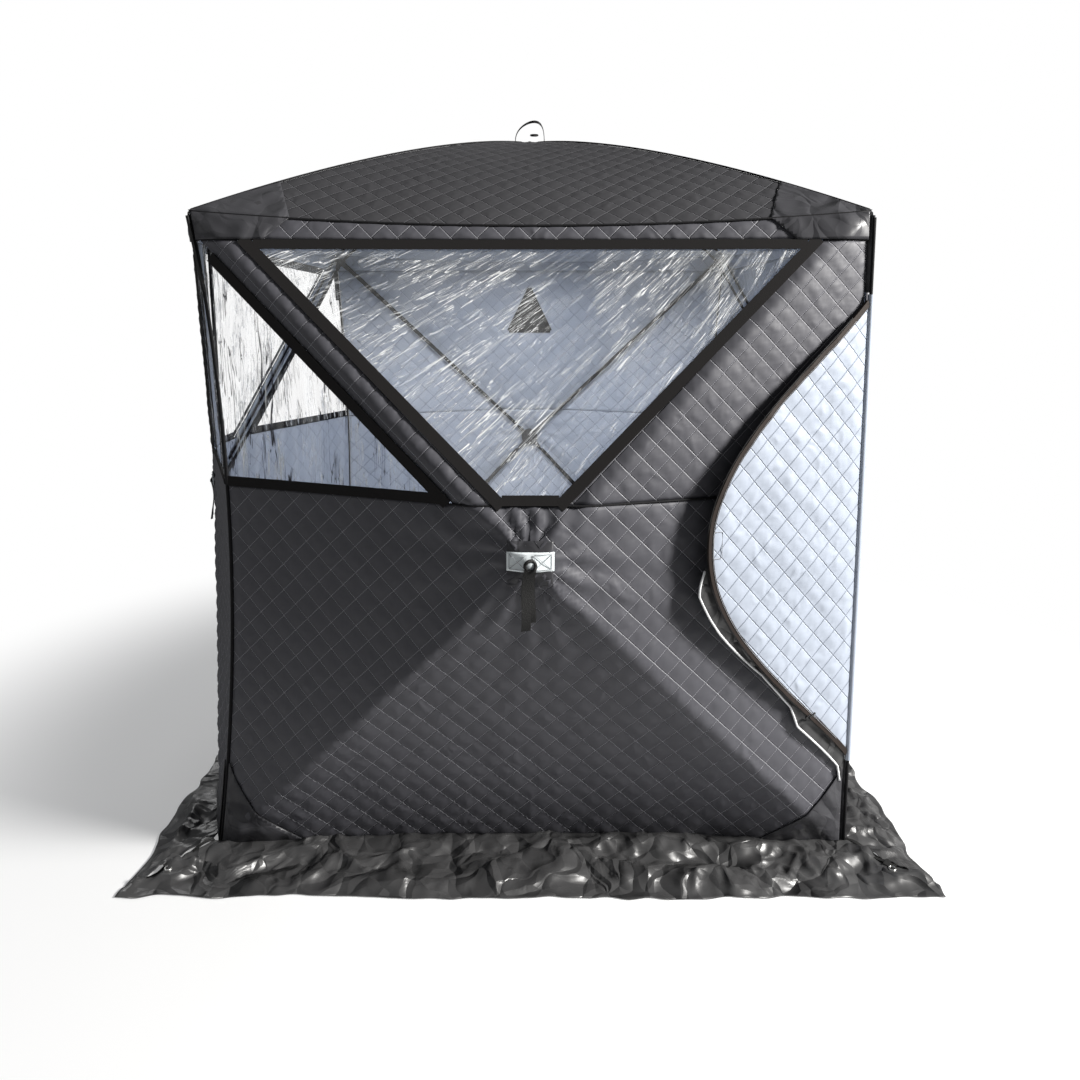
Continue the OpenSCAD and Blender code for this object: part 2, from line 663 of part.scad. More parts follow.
module roof_strap() {
    color("#141415")
        translate([0, tab_w / 2, loop_base]) rotate([90, 0, 0]) linear_extrude(height = tab_w)
            difference() {
                polygon([[-loop_w / 2, 0], [loop_w / 2, 0], [loop_w * 0.25, loop_h]]);
                polygon([[-loop_w / 2 + strap_t * 4, strap_t], [loop_w / 2 - strap_t * 1.3, strap_t],
                         [loop_w * 0.25 - strap_t * 0.2, loop_h - strap_t * 1.6]]);
            }
}

roof_front_panel();
roof_right_panel();
roof_back_panel();
roof_left_panel();
eave_bands();
top_corner_patches();
roof_hub();
front_hub();
right_hub();
back_hub();
left_hub();
roof_poles();
front_poles();
right_poles();
back_poles();
left_poles();
top_corner_cups();
bottom_corner_cups();
hub_patches();
pull_straps();
roof_strap();
front_lower_panel();
front_right_panel();
front_left_arm();
front_window_film();
front_corner_film();
front_window_tapes();
left_lower_panel();
left_arms();
left_window_film();
left_side_films();
left_window_tapes();
back_lower_panel();
back_upper_panel();
back_vent_mesh();
right_lower_panel();
right_upper_panel();
right_door_header();
right_door_side();
right_door_sill();
corner_piping();
door_corner_piping();
skirt_front();
skirt_right();
skirt_back();
skirt_left();
door_panel();
door_binding();
door_flap();
door_flap_piping();
door_sleeve();
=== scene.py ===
# %% [markdown]
# # A pop-up hub shelter for ice fishing
# The real shelter is sewn cloth held out by bent poles: five hubs push their walls and the roof
# outwards, so each face is a low pyramid. Nearly all of it is cloth, so nearly all of this file
# makes sheets. The frame gives the hard parts, the door's hinge and the sizes, and nothing is moved.

# %% Load the frame
import json
import math

import bpy
import numpy as np
from mathutils import Matrix, Vector

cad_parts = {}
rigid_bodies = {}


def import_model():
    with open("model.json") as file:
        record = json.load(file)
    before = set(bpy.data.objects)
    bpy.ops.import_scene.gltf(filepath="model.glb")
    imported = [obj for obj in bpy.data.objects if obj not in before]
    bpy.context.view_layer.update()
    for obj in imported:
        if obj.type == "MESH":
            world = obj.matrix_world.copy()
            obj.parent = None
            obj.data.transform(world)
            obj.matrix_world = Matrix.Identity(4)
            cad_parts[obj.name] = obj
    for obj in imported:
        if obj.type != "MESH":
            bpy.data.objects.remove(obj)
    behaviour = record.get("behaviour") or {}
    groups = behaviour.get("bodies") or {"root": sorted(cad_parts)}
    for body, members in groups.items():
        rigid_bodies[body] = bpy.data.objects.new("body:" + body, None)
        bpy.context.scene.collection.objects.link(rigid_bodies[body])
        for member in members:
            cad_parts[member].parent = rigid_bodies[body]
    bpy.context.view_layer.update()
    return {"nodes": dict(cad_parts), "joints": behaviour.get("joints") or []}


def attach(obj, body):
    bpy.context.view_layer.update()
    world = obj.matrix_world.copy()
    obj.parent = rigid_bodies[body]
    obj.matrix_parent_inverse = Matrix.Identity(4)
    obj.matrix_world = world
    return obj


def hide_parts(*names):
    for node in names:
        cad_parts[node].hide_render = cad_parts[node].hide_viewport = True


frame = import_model()

# %% [markdown]
# ## The driving sizes
# These are the sizes of the sewn shell, in metres. They are the frame's own.

# %% Sizes of the shell
TOP_HALF, BOTTOM_HALF = 0.900, 0.860        # half widths between the corners, top and bottom
CORNER_H, ROOF_H = 1.750, 2.090             # heights of the corners and of the roof hub
HUB_OUT, HUB_Z = 1.155, 0.875               # how far and how high the wall hubs stand
ROOF_ROUND = 1.5                            # how the roof falls from its hub
CORNER_BOW, EAVE_SAG, EAVE_IN, HEM_IN = 0.050, 0.036, 0.020, 0.042
QUILT_T, EDGE_IN = 0.006, 0.007
SEAM_Z, BAND_Z, ARM_W, TAPE_W = 1.010, 1.674, 0.052, 0.026
SKIRT_W = 0.190
GAP = 0.0006                                # panels stop just short of their seams
QUILT = 0.070                               # corner to corner of a quilted diamond
STEP = QUILT / 6                            # the cloth's mesh has six cells to a diamond
FRONT, RIGHT, BACK, LEFT = 0, 90, 180, 270  # a wall is made as the front one and turned into place
FRONT_BOWS, RIGHT_BOWS, PLAIN_BOWS = (CORNER_BOW, 0.0), (0.0, CORNER_BOW), (CORNER_BOW, CORNER_BOW)
WALLS = (("front", FRONT, FRONT_BOWS), ("right", RIGHT, RIGHT_BOWS),
         ("back", BACK, PLAIN_BOWS), ("left", LEFT, PLAIN_BOWS))

# %% [markdown]
# ## The camera
# The camera comes first, because it says what has to be right. It stands in front of the wide
# window at eye height and looks slightly down, and its lens is shifted so that uprights stay upright.

# %% Camera
camera_data = bpy.data.cameras.new("camera")
camera_data.lens = 30.3
camera_data.shift_x, camera_data.shift_y = 0.0105, -0.1685
camera = bpy.data.objects.new("camera", camera_data)
bpy.context.collection.objects.link(camera)
camera.location = (-0.004, -3.3125, 1.483)
camera.rotation_euler = (math.radians(90 - 2.88), 0, 0)
bpy.context.scene.camera = camera
print("camera", list(camera.location))

# %% [markdown]
# ## Nodes
# A material or a world is a tree of nodes. These helpers make a node, set or link its inputs and
# do arithmetic on other nodes' outputs, so that each finish below can be read in a few lines.

# %% Node helpers
def new_material(name):
    material = bpy.data.materials.new(name)
    material.use_nodes = True
    return material


def give(tree, node, given):
    """Sets or links a node's inputs. given pairs the name or number of an input with its value."""
    for name, value in given.items():
        socket = node.inputs[name]
        if isinstance(value, bpy.types.NodeSocket):
            tree.links.new(value, socket)
        else:
            socket.default_value = (*value, 1) if socket.type == "RGBA" else value


def add_node(tree, kind, given=(), **traits):
    node = tree.nodes.new("ShaderNode" + kind)
    for trait, value in traits.items():
        setattr(node, trait, value)
    give(tree, node, dict(given))
    return node


def math_node(tree, operation, *values):
    """The result of arithmetic on numbers and on other nodes' outputs."""
    return add_node(tree, "Math", dict(enumerate(values)), operation=operation).outputs[0]


def smooth_step(tree, value, low, high, start=0.0):
    """Rises smoothly from start to 1 while value goes from low to high."""
    given = {"Value": value, "From Min": low, "From Max": high, "To Min": start}
    return add_node(tree, "MapRange", given, interpolation_type="SMOOTHSTEP").outputs["Result"]


# %% [markdown]
# ## The stage and the light
# A pale floor takes the shadow and the world is white to the camera. The daylight comes
# from high on the right, so a large soft lamp stands there, with a weak one on the left to fill.
# Cloth mirrors and gathers only a share of all this white, or its dark folds would turn grey.

# %% World and floor
GLOSSY_SHARE = 0.15                         # how much of the white the cloth may mirror
DIFFUSE_SHARE = 0.15                        # how much of the floor's glow lights the cloth
SHADE_REACH, WHITE_REACH, NEAR_GLOW = 1.4, 2.6, 0.30

world = bpy.data.worlds.new("studio")
world.use_nodes = True
bpy.context.scene.world = world
tree = world.node_tree
sky = tree.nodes["Background"]
give(tree, sky, {"Color": (0.93, 0.96, 1.0), "Strength": 0.10})
path = add_node(tree, "LightPath").outputs
seen = math_node(tree, "MULTIPLY_ADD", path["Is Glossy Ray"], GLOSSY_SHARE, path["Is Camera Ray"])
seen = math_node(tree, "MAXIMUM", seen, path["Is Transmission Ray"])
white = add_node(tree, "Background", {"Color": (1, 1, 1), "Strength": 1.0}).outputs[0]
white_seen = add_node(tree, "MixShader", {0: seen, 1: sky.outputs[0], 2: white}).outputs[0]
give(tree, tree.nodes["World Output"], {"Surface": white_seen})

floor_material = new_material("pale_floor")
tree = floor_material.node_tree
pale = tree.nodes["Principled BSDF"]
give(tree, pale, {"Base Color": (0.88, 0.89, 0.90), "Roughness": 0.95})
place = add_node(tree, "TexCoord").outputs["Object"]
reach = add_node(tree, "VectorMath", {0: place}, operation="LENGTH").outputs["Value"]
fade = smooth_step(tree, reach, SHADE_REACH, WHITE_REACH, NEAR_GLOW)
path = add_node(tree, "LightPath").outputs
glow = math_node(tree, "MULTIPLY_ADD", path["Is Diffuse Ray"], DIFFUSE_SHARE - 1, 1.0)
glow = math_node(tree, "MULTIPLY_ADD", path["Is Glossy Ray"], GLOSSY_SHARE - 1, glow)
white = add_node(tree, "Emission", {"Strength": glow}).outputs[0]
floor_mix = add_node(tree, "MixShader", {0: fade, 1: pale.outputs[0], 2: white}).outputs[0]
give(tree, tree.nodes["Material Output"], {"Surface": floor_mix})
bpy.ops.object.select_all(action="DESELECT")
bpy.ops.mesh.primitive_plane_add(size=60, location=(0, 0, -0.0005))
floor = bpy.context.object
floor.name = "floor"
floor.data.materials.append(floor_material)
floor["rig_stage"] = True
print("floor", floor.name, "world", world.name)


# %% Lamps
def lamp(name, place, target, size, power, colour=(1, 1, 1)):
    data = bpy.data.lights.new(name, "AREA")
    data.shape, data.size, data.energy, data.color = "DISK", size, power, colour
    lamp_object = bpy.data.objects.new(name, data)
    bpy.context.collection.objects.link(lamp_object)
    lamp_object.location = place
    aim = Vector(target) - Vector(place)
    lamp_object.rotation_euler = aim.to_track_quat("-Z", "Y").to_euler()


lamp("sun_side", (6.3, -2.7, 3.9), (0, -0.3, 0.9), 1.7, 1400, (1.0, 0.98, 0.95))
lamp("fill_side", (-4.2, -2.6, 2.6), (0, 0, 0.9), 3.0, 16)
lamp("inside", (0.0, 0.1, 1.62), (0, 0.2, 0.0), 0.7, 15, (0.95, 0.96, 1.0))
lamp("back_side", (-1.5, 5.2, 3.0), (0, 0, 0.9), 4.5, 110)
bpy.context.scene.view_settings.view_transform = "Standard"
print("lamps", len(bpy.data.lights))

# %% [markdown]
# ## The shape of a wall
# A wall's cloth runs straight from its hub to a bowed edge, so its depth has a formula: the place
# (x, z) lies on one such line, and the line's far end says how far in the wall is there. Every sheet
# of a wall reads the same formula, so windows, arms, tapes and lining all line up.

# %% Wall formulas
def edge_x(z, bow):
    """Half width of a wall at height z, out to its corner seam."""
    v = np.asarray(z) / CORNER_H
    return BOTTOM_HALF + (TOP_HALF - BOTTOM_HALF) * v - 4 * bow * v * (1 - v)


def ridge_x(z):
    """Half width between a wall's pole lines at height z."""
    up = TOP_HALF * (z - HUB_Z) / (CORNER_H - HUB_Z)
    return np.where(z > HUB_Z, up, BOTTOM_HALF * (HUB_Z - z) / HUB_Z)


def wall_depth_sharp(x, z, bows):
    """How far behind the middle plane the wall stands, with sharp folds over its poles."""
    x, z = np.asarray(x, float), np.asarray(z, float)
    rise = np.where(np.abs(z - HUB_Z) < 1e-5, 1e-5, z - HUB_Z)
    k = CORNER_H - HUB_Z - EAVE_SAG
    m = np.clip(x / rise, -1.2, 1.2)
    u = 2 * m * k / (TOP_HALF + np.sqrt(TOP_HALF ** 2 - 4 * m * m * EAVE_SAG * k))
    t_top = rise / (CORNER_H - EAVE_SAG * (1 - u * u) - HUB_Z)
    top = HUB_OUT + (TOP_HALF - EAVE_IN * (1 - u * u) - HUB_OUT) * t_top
    t_low = (HUB_Z - z) / HUB_Z
    u_low = np.clip(x / (BOTTOM_HALF * np.where(np.abs(t_low) < 1e-6, 1e-6, t_low)), -1, 1)
    low = HUB_OUT + (BOTTOM_HALF - HEM_IN * (1 - u_low ** 2) - HUB_OUT) * t_low
    bow = np.where(x < 0, bows[0], bows[1])
    wide = np.maximum(np.abs(x), 1e-5)
    slope = np.clip((z - HUB_Z) / wide, -1.2, 1.2)
    a, c = 4 * bow * slope, slope * BOTTOM_HALF + HUB_Z
    b = slope * (TOP_HALF - BOTTOM_HALF - 4 * bow) - CORNER_H
    v = 2 * c / (-b + np.sqrt(np.maximum(b * b - 4 * a * c, 0)))
    edge = edge_x(v * CORNER_H, bow)
    side = HUB_OUT + (edge - HUB_OUT) * wide / edge
    return -np.where(np.abs(x) <= ridge_x(z), np.where(z > HUB_Z, top, low), side)


def wall_depth(x, z, bows, soft=0.010):
    """The same depth with the fold over each pole rounded, as cloth lies over a pole."""
    x, z = np.asarray(x, float), np.asarray(z, float)
    total = 2 * wall_depth_sharp(x, z, bows)
    for dx, dz in ((soft, 0), (-soft, 0), (0, soft), (0, -soft)):
        total = total + wall_depth_sharp(x + dx, z + dz, bows)
    return total / 6


def on_wall(x, z, bows, lift=0.0):
    """Points of a wall in the front wall's place, lifted outwards."""
    x, z = np.broadcast_arrays(np.asarray(x, float), np.asarray(z, float))
    return np.column_stack([x, wall_depth(x, z, bows) - lift, z])


def left_of(bow):
    return lambda z: -(edge_x(z, bow) - EDGE_IN)


def right_of(bow):
    return lambda z: edge_x(z, bow) - EDGE_IN


def mirrored(inner, outer, hand):
    """The outline from inner to outer on the right, or its mirror image on the left."""
    if hand > 0:
        return inner, outer
    return lambda z: -outer(z), lambda z: -inner(z)


def turned(side):
    return Matrix.Rotation(math.radians(side), 4, "Z")


print("depth at the hub", wall_depth(0, HUB_Z, PLAIN_BOWS))


# %% Roof formulas
def eave_z(u):
    return CORNER_H - EAVE_SAG * (1 - np.clip(u, -1, 1) ** 2)


def eave_y(u):
    return TOP_HALF - EAVE_IN * (1 - np.clip(u, -1, 1) ** 2)


def roof_place(x, d):
    """(x, d) in a quarter's flat triangle, d towards the eave, to a point of the front quarter."""
    t = np.maximum(d / TOP_HALF, 1e-6)
    u = np.clip(x / (TOP_HALF * t), -1, 1)
    y, z = -eave_y(u) * t, ROOF_H - (ROOF_H - eave_z(u)) * t ** ROOF_ROUND
    return np.column_stack([x, y, z])


print("roof's corner", roof_place(np.array([TOP_HALF]), np.array([TOP_HALF])))

# %% [markdown]
# ## Small unevenness
# Cloth is never quite even. A smooth value noise from a seeded table gives the same gentle bumps on
# every run, and folding it about zero gives the sharp creases of crumpled cloth.

# %% Noise
def value_noise(u, v, cell, seed):
    """Smooth noise from -1 to 1 over (u, v), with hills about a cell apart."""
    table = np.random.RandomState(seed).rand(128, 128) * 2 - 1
    a, b = np.asarray(u, float) / cell, np.asarray(v, float) / cell
    i, j = np.floor(a).astype(int), np.floor(b).astype(int)
    f, g = a - i, b - j
    f, g = f * f * (3 - 2 * f), g * g * (3 - 2 * g)
    low = table[i % 128, j % 128] * (1 - f) + table[(i + 1) % 128, j % 128] * f
    high = table[i % 128, (j + 1) % 128] * (1 - f) + table[(i + 1) % 128, (j + 1) % 128] * f
    return low * (1 - g) + high * g


def crease_noise(u, v, cell, seed, turn):
    """Noise with sharp ridges, turned so that its grid doesn't show."""
    c, s = math.cos(turn), math.sin(turn)
    return 1 - 2 * np.abs(value_noise(u * c - v * s, u * s + v * c, cell, seed))


def quilt_puff(u, v, margin):
    """0 along the stitched lines and near a sewn edge, 1 in the middle of each diamond."""
    a, b = (u + v) / QUILT, (u - v) / QUILT
    pillow = np.sqrt(np.abs(np.sin(math.pi * a) * np.sin(math.pi * b)))
    edge = np.clip(margin / 0.020, 0, 1)
    return pillow * edge * edge * (3 - 2 * edge)


print("noise at a place", float(value_noise(0.3, 0.7, 0.1, 1)))

# %% [markdown]
# ## Sheets on an even grid
# Quilting only looks right if the mesh has the same even cells as the stitching. So a panel starts as
# an even grid over its outline, whose edge cells are pulled onto the outline, and then the formula
# lifts it into place. Two layers, outer cloth and lining, are joined by a rim.

# %% Grids
def grid_over(left, right, low, high, step=STEP):
    """An even grid over heights low to high, between two outlines given as functions of height."""
    rows = np.linspace(low, high, max(2, round((high - low) / step)) + 1)
    lefts = np.array([float(left(z)) for z in rows])
    rights = np.array([float(right(z)) for z in rows])
    columns = np.arange(math.floor(lefts.min() / step), math.ceil(rights.max() / step) + 1) * step
    places, index, faces = [], {}, []

    def corner(i, j):
        x = min(max(columns[i], lefts[j]), rights[j])
        key = (round(x, 6), j)
        if key not in index:
            index[key] = len(places)
            places.append((x, rows[j]))
        return index[key]

    for j in range(len(rows) - 1):
        for i in range(len(columns) - 1):
            overlap = max(min(columns[i + 1], rights[r]) - max(columns[i], lefts[r]) for r in (j, j + 1))
            if overlap > 1e-6:
                ids = [corner(i, j), corner(i + 1, j), corner(i + 1, j + 1), corner(i, j + 1)]
                face = [p for n, p in enumerate(ids) if p not in ids[:n]]
                if len(face) > 2:
                    faces.append(face)
    places = np.array(places)
    margins = np.minimum(np.minimum(places[:, 0] - np.interp(places[:, 1], rows, lefts),
                                    np.interp(places[:, 1], rows, rights) - places[:, 0]),
                         np.minimum(places[:, 1] - low, high - places[:, 1]))
    return places, faces, np.maximum(margins, 0)


def row_faces(wide, deep):
    """Faces of a plain grid of deep rows of cells, wide cells in a row."""
    n = wide + 1
    return [[j * n + i, j * n + i + 1, (j + 1) * n + i + 1, (j + 1) * n + i]
            for j in range(deep) for i in range(wide)]


def flipped(faces):
    return [face[::-1] for face in faces]


print("faces of a small grid", row_faces(2, 1))


# %% Pieces and shells
def add_piece(name, points, faces, materials, slot, turn=None, body=None, nodes=(), smooth=True):
    """A new piece, turned to its wall or set on the door, with its body and what it replaces. slot is not
    used.
    """
    if turn is not None:
        points = points @ np.array(turn.to_3x3()).T + np.array(turn.translation)
    mesh = bpy.data.meshes.new(name)
    mesh.from_pydata(points.tolist(), [], faces)
    for material in materials:
        mesh.materials.append(material)
    mesh.polygons.foreach_set("use_smooth", [smooth] * len(faces))
    mesh.update()
    piece = bpy.data.objects.new(name, mesh)
    bpy.context.collection.objects.link(piece)
    if nodes:
        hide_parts(*nodes)
    if body:
        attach(piece, body)
    return piece


def add_map(piece, name, places):
    """A map of flat places, given for one layer of a shell and used for both."""
    layer = piece.data.uv_layers.new(name=name)
    corners = np.zeros(len(piece.data.loops), np.int32)
    piece.data.loops.foreach_get("vertex_index", corners)
    layer.data.foreach_set("uv", np.concatenate([places, places])[corners].ravel())


def shell_mesh(name, outer, inner, faces, flat, materials, slot, **names):
    """Joins an outer and an inner layer with a rim. materials are the outer, inner and rim ones."""
    n = len(outer)
    edges = dict.fromkeys((a, b) for face in faces for a, b in zip(face, face[1:] + face[:1]))
    rim = [(a, b) for a, b in edges if (b, a) not in edges]
    polygons = (faces + [[p + n for p in reversed(face)] for face in faces]
                + [[b, a, a + n, b + n] for a, b in rim])
    piece = add_piece(name, np.concatenate([outer, inner]), polygons, materials, slot, **names)
    layers = [0] * len(faces) + [1] * len(faces) + [2] * len(rim)
    piece.data.polygons.foreach_set("material_index", layers)
    add_map(piece, "Cloth", flat)
    piece.data.update()
    piece.data.validate()
    return piece


def lay_on_wall(name, side, bows, x, z, faces, lift, thickness, materials, slot, nodes=()):
    """A sheet over a wall. lift is how far its outer face stands off the wall's own surface."""
    outer = on_wall(x, z, bows, lift)
    inner = outer.copy()
    inner[:, 1] += thickness
    return shell_mesh(name, outer, inner, faces, np.column_stack([x, z]), materials, slot,
                      turn=turned(side), nodes=nodes)


print("sheet helpers ready")


# %% [markdown]
# ## Strips and tubes
# Tapes, bindings, webbing and seams are strips that follow a line. A strip takes the line's points
# and the direction across it at each one; a tube takes only the points. Both sweep a ring of points.

# %% Strip and tube makers
def sweep(name, rings, material, slot, **names):
    """A closed skin over rings, an array of rings of points that follow each other."""
    n, sides = rings.shape[:2]
    polygons = [[i * sides + k, i * sides + (k + 1) % sides, (i + 1) * sides + (k + 1) % sides,
                 (i + 1) * sides + k] for i in range(n - 1) for k in range(sides)]
    polygons += [list(range(sides))[::-1], [(n - 1) * sides + k for k in range(sides)]]
    return add_piece(name, rings.reshape(-1, 3), polygons, [material], slot, **names)


def strip(name, points, across, width, thickness, material, slot, **names):
    """A flat strip along points. across points across it, the same all along or one for each point."""
    points = np.asarray(points, float)
    across = np.broadcast_to(np.asarray(across, float), points.shape)
    across = across / np.linalg.norm(across, axis=1, keepdims=True)
    face = np.cross(np.gradient(points, axis=0), across)
    face = face / np.maximum(np.linalg.norm(face, axis=1, keepdims=True), 1e-9)
    half, deep = across * width / 2, face * thickness / 2
    ring = [points - half - deep, points + half - deep, points + half + deep, points - half + deep]
    return sweep(name, np.stack(ring, axis=1), material, slot, smooth=False, **names)


def tube(name, points, radius, material, sides, slot, **names):
    """A round cord or piping along points, closed at its ends."""
    points = np.asarray(points, float)
    along = np.gradient(points, axis=0)
    along = along / np.maximum(np.linalg.norm(along, axis=1, keepdims=True), 1e-9)
    guide = np.array([0.0, 0.0, 1.0]) if abs(along[0][2]) < 0.9 else np.array([1.0, 0.0, 0.0])
    turns = np.linspace(0, 2 * math.pi, sides, endpoint=False)
    rings = []
    for p, a in zip(points, along):
        guide = guide - a * np.dot(guide, a)
        guide = guide / np.linalg.norm(guide)
        second = np.cross(a, guide)
        rings.append([p + radius * (math.cos(t) * guide + math.sin(t) * second) for t in turns])
    return sweep(name, np.array(rings), material, slot, **names)


print("strip and tube helpers ready")

# %% [markdown]
# ## Materials
# Every finish is procedural. The cloth's own flat coordinates, kept on the mesh as a map named Cloth,
# carry the quilting stitches, so they line up with the relief that the mesh already has. The shared
# effects are node groups: stitches, wrinkles, crumple, weave and the creases of clear film.

# %% Node groups for cloth
def node_group(name, inputs, outputs):
    """A new group that takes a vector and the named numbers, and gives the named numbers."""
    group = bpy.data.node_groups.new(name, "ShaderNodeTree")
    group.interface.new_socket("Vector", in_out="INPUT", socket_type="NodeSocketVector")
    for socket_name, value in inputs.items():
        socket = group.interface.new_socket(socket_name, in_out="INPUT", socket_type="NodeSocketFloat")
        socket.default_value = value
    for socket_name in outputs:
        group.interface.new_socket(socket_name, in_out="OUTPUT", socket_type="NodeSocketFloat")
    return group, group.nodes.new("NodeGroupInput").outputs, group.nodes.new("NodeGroupOutput")


def bent_vector(tree, vector, amount):
    """The vector moved about by a slow noise, so that what reads it runs unevenly."""
    bend = add_node(tree, "TexNoise", {"Vector": vector, "Scale": 5}).outputs["Color"]
    return add_node(tree, "VectorMath", {0: bend, 1: (amount,) * 3, 2: vector},
                    operation="MULTIPLY_ADD").outputs[0]


def stitch_group():
    """Line: 1 on a stitched line of the quilting, 0 away from it. Thread: the stitches along it."""
    group, given, result = node_group("quilt_stitches", {"Width": 0.0022}, ("Line", "Thread"))
    split = add_node(group, "SeparateXYZ", {0: given["Vector"]}).outputs
    lines, threads = [], []
    for sign in (1, -1):
        across = math_node(group, "MULTIPLY_ADD", split["Y"], sign, split["X"])
        along = math_node(group, "MULTIPLY_ADD", split["Y"], -sign, split["X"])
        near = math_node(group, "PINGPONG", across, QUILT / 2)
        line = math_node(group, "DIVIDE", near, given["Width"])
        line = math_node(group, "SUBTRACT", 1, math_node(group, "MINIMUM", line, 1))
        stitch = math_node(group, "GREATER_THAN", math_node(group, "PINGPONG", along, 0.004), 0.0011)
        lines.append(line)
        threads.append(math_node(group, "MULTIPLY", math_node(group, "GREATER_THAN", line, 0.55), stitch))
    give(group, result, {"Line": math_node(group, "MAXIMUM", *lines),
                         "Thread": math_node(group, "MAXIMUM", *threads)})
    return group


def wrinkle_group():
    """Height: small uneven creases like those of thin cloth, about Scale to the metre."""
    group, given, result = node_group("cloth_wrinkles", {"Scale": 14.0}, ("Height",))
    bent = bent_vector(group, given["Vector"], 0.12)
    crease = add_node(group, "TexNoise", {"Vector": bent, "Scale": given["Scale"], "Detail": 3,
                                          "Roughness": 0.45}, noise_type="RIDGED_MULTIFRACTAL")
    give(group, result, {"Height": crease.outputs["Fac"]})
    return group


def crumple_group():
    """Height: the sharp flats of a crumpled coating, in two sizes, as strong as Facets."""
    group, given, result = node_group("coating_crumple", {"Facets": 0.5}, ("Height",))
    bent = bent_vector(group, given["Vector"], 0.25)
    height = 0.0
    for cells, share in ((3.6, 8.0), (9.0, 2.6)):
        flats = add_node(group, "TexVoronoi", {"Vector": bent, "Scale": cells}, feature="DISTANCE_TO_EDGE")
        height = math_node(group, "MULTIPLY_ADD", flats.outputs["Distance"], share, height)
    give(group, result, {"Height": math_node(group, "MULTIPLY", height, given["Facets"])})
    return group


def weave_group():
    """Height: the close weave of tape and webbing, with Threads to the metre."""
    group, given, result = node_group("close_weave", {"Threads": 400.0}, ("Height",))
    weave = add_node(group, "TexNoise", {"Vector": given["Vector"], "Scale": given["Threads"], "Detail": 1})
    give(group, result, {"Height": weave.outputs["Fac"]})
    return group


STITCHES, WRINKLES, CRUMPLE, WEAVE = stitch_group(), wrinkle_group(), crumple_group(), weave_group()
print("node groups", [group.name for group in bpy.data.node_groups])


# %% Material helpers
def use_group(tree, group, vector, **values):
    node = tree.nodes.new("ShaderNodeGroup")
    node.node_tree = group
    give(tree, node, {"Vector": vector, **values})
    return node.outputs


def map_vector(tree, name):
    return add_node(tree, "UVMap", uv_map=name).outputs["UV"]


def object_vector(tree):
    return add_node(tree, "TexCoord").outputs["Object"]


def bumped(tree, shader, height, distance, under=None):
    """Raises the surface by height times distance, over the bump under it if there is one."""
    given = {"Strength": 1.0, "Distance": distance, "Height": height}
    if under is not None:
        given["Normal"] = under
    normal = add_node(tree, "Bump", given).outputs["Normal"]
    give(tree, shader, {"Normal": normal})
    return normal


def mixed_colour(tree, factor, first, second):
    given = {"A": first, "B": second, "Factor": factor}
    return add_node(tree, "Mix", given, data_type="RGBA").outputs["Result"]


def finish(name, colour, roughness, specular=0.5, metallic=0.0):
    """A smooth material, with its tree and shader for what the cloths add to it."""
    material = new_material(name)
    shader = material.node_tree.nodes["Principled BSDF"]
    give(material.node_tree, shader, {"Base Color": colour, "Roughness": roughness, "Metallic": metallic,
                                      "Specular IOR Level": specular})
    return material, material.node_tree, shader


def quilted_material(name, colour, thread_and_painted_light, roughness, crease, specular):
    """Quilted cloth: grooves along the stitched lines, stitching in them, and small creases. The stitching's
    colour is partly painted light: a painted highlight where it is lighter than dark cloth, painted shade in
    the grooves where it is darker than the lining.
    """
    material, tree, shader = finish(name, colour, roughness, specular)
    vector = map_vector(tree, "Cloth")
    stitches = use_group(tree, STITCHES, vector, Width=0.0030)
    # The stitching colour is painted light as well as stitching: lighter than dark cloth as a painted
    # highlight, darker than the lining as painted shade in its grooves.
    give(tree, shader, {"Base Color": mixed_colour(tree, stitches["Thread"], colour, thread_and_painted_light)})
    wrinkles = use_group(tree, WRINKLES, vector, Scale=26.0)
    normal = bumped(tree, shader, wrinkles["Height"], crease)
    bumped(tree, shader, math_node(tree, "MULTIPLY", stitches["Line"], -1.0), 0.0016, normal)
    return material


def plain_material(name, colour, roughness, crease, scale, specular, facets=0.0):
    """Thin plain cloth with creases; facets adds the sharp flats of a crumpled coating."""
    material, tree, shader = finish(name, colour, roughness, specular)
    vector = object_vector(tree)
    height = use_group(tree, WRINKLES, vector, Scale=scale)["Height"]
    if facets > 0:
        height = math_node(tree, "ADD", height, use_group(tree, CRUMPLE, vector, Facets=facets)["Height"])
    bumped(tree, shader, height, crease)
    return material


def woven_material(name, colour, roughness, pitch, depth=0.0004, specular=0.2):
    """Webbing, hook tape and binding: a close weave."""
    material, tree, shader = finish(name, colour, roughness, specular)
    weave = use_group(tree, WEAVE, object_vector(tree), Threads=1 / pitch)
    bumped(tree, shader, weave["Height"], depth)
    return material


# %% Cloth, tape and hard materials
BLACK_CLOTH, WHITE_LINING = (0.046, 0.046, 0.051), (0.37, 0.41, 0.48)
# The second colour of each quilted finish is its stitching, lighter on the black cloths as a painted
# highlight and darker on the lining as painted shade in the grooves.
OUTER = quilted_material("quilted_cloth", (0.068, 0.068, 0.079), (0.260, 0.260, 0.285), 0.58, 0.0028, 0.50)
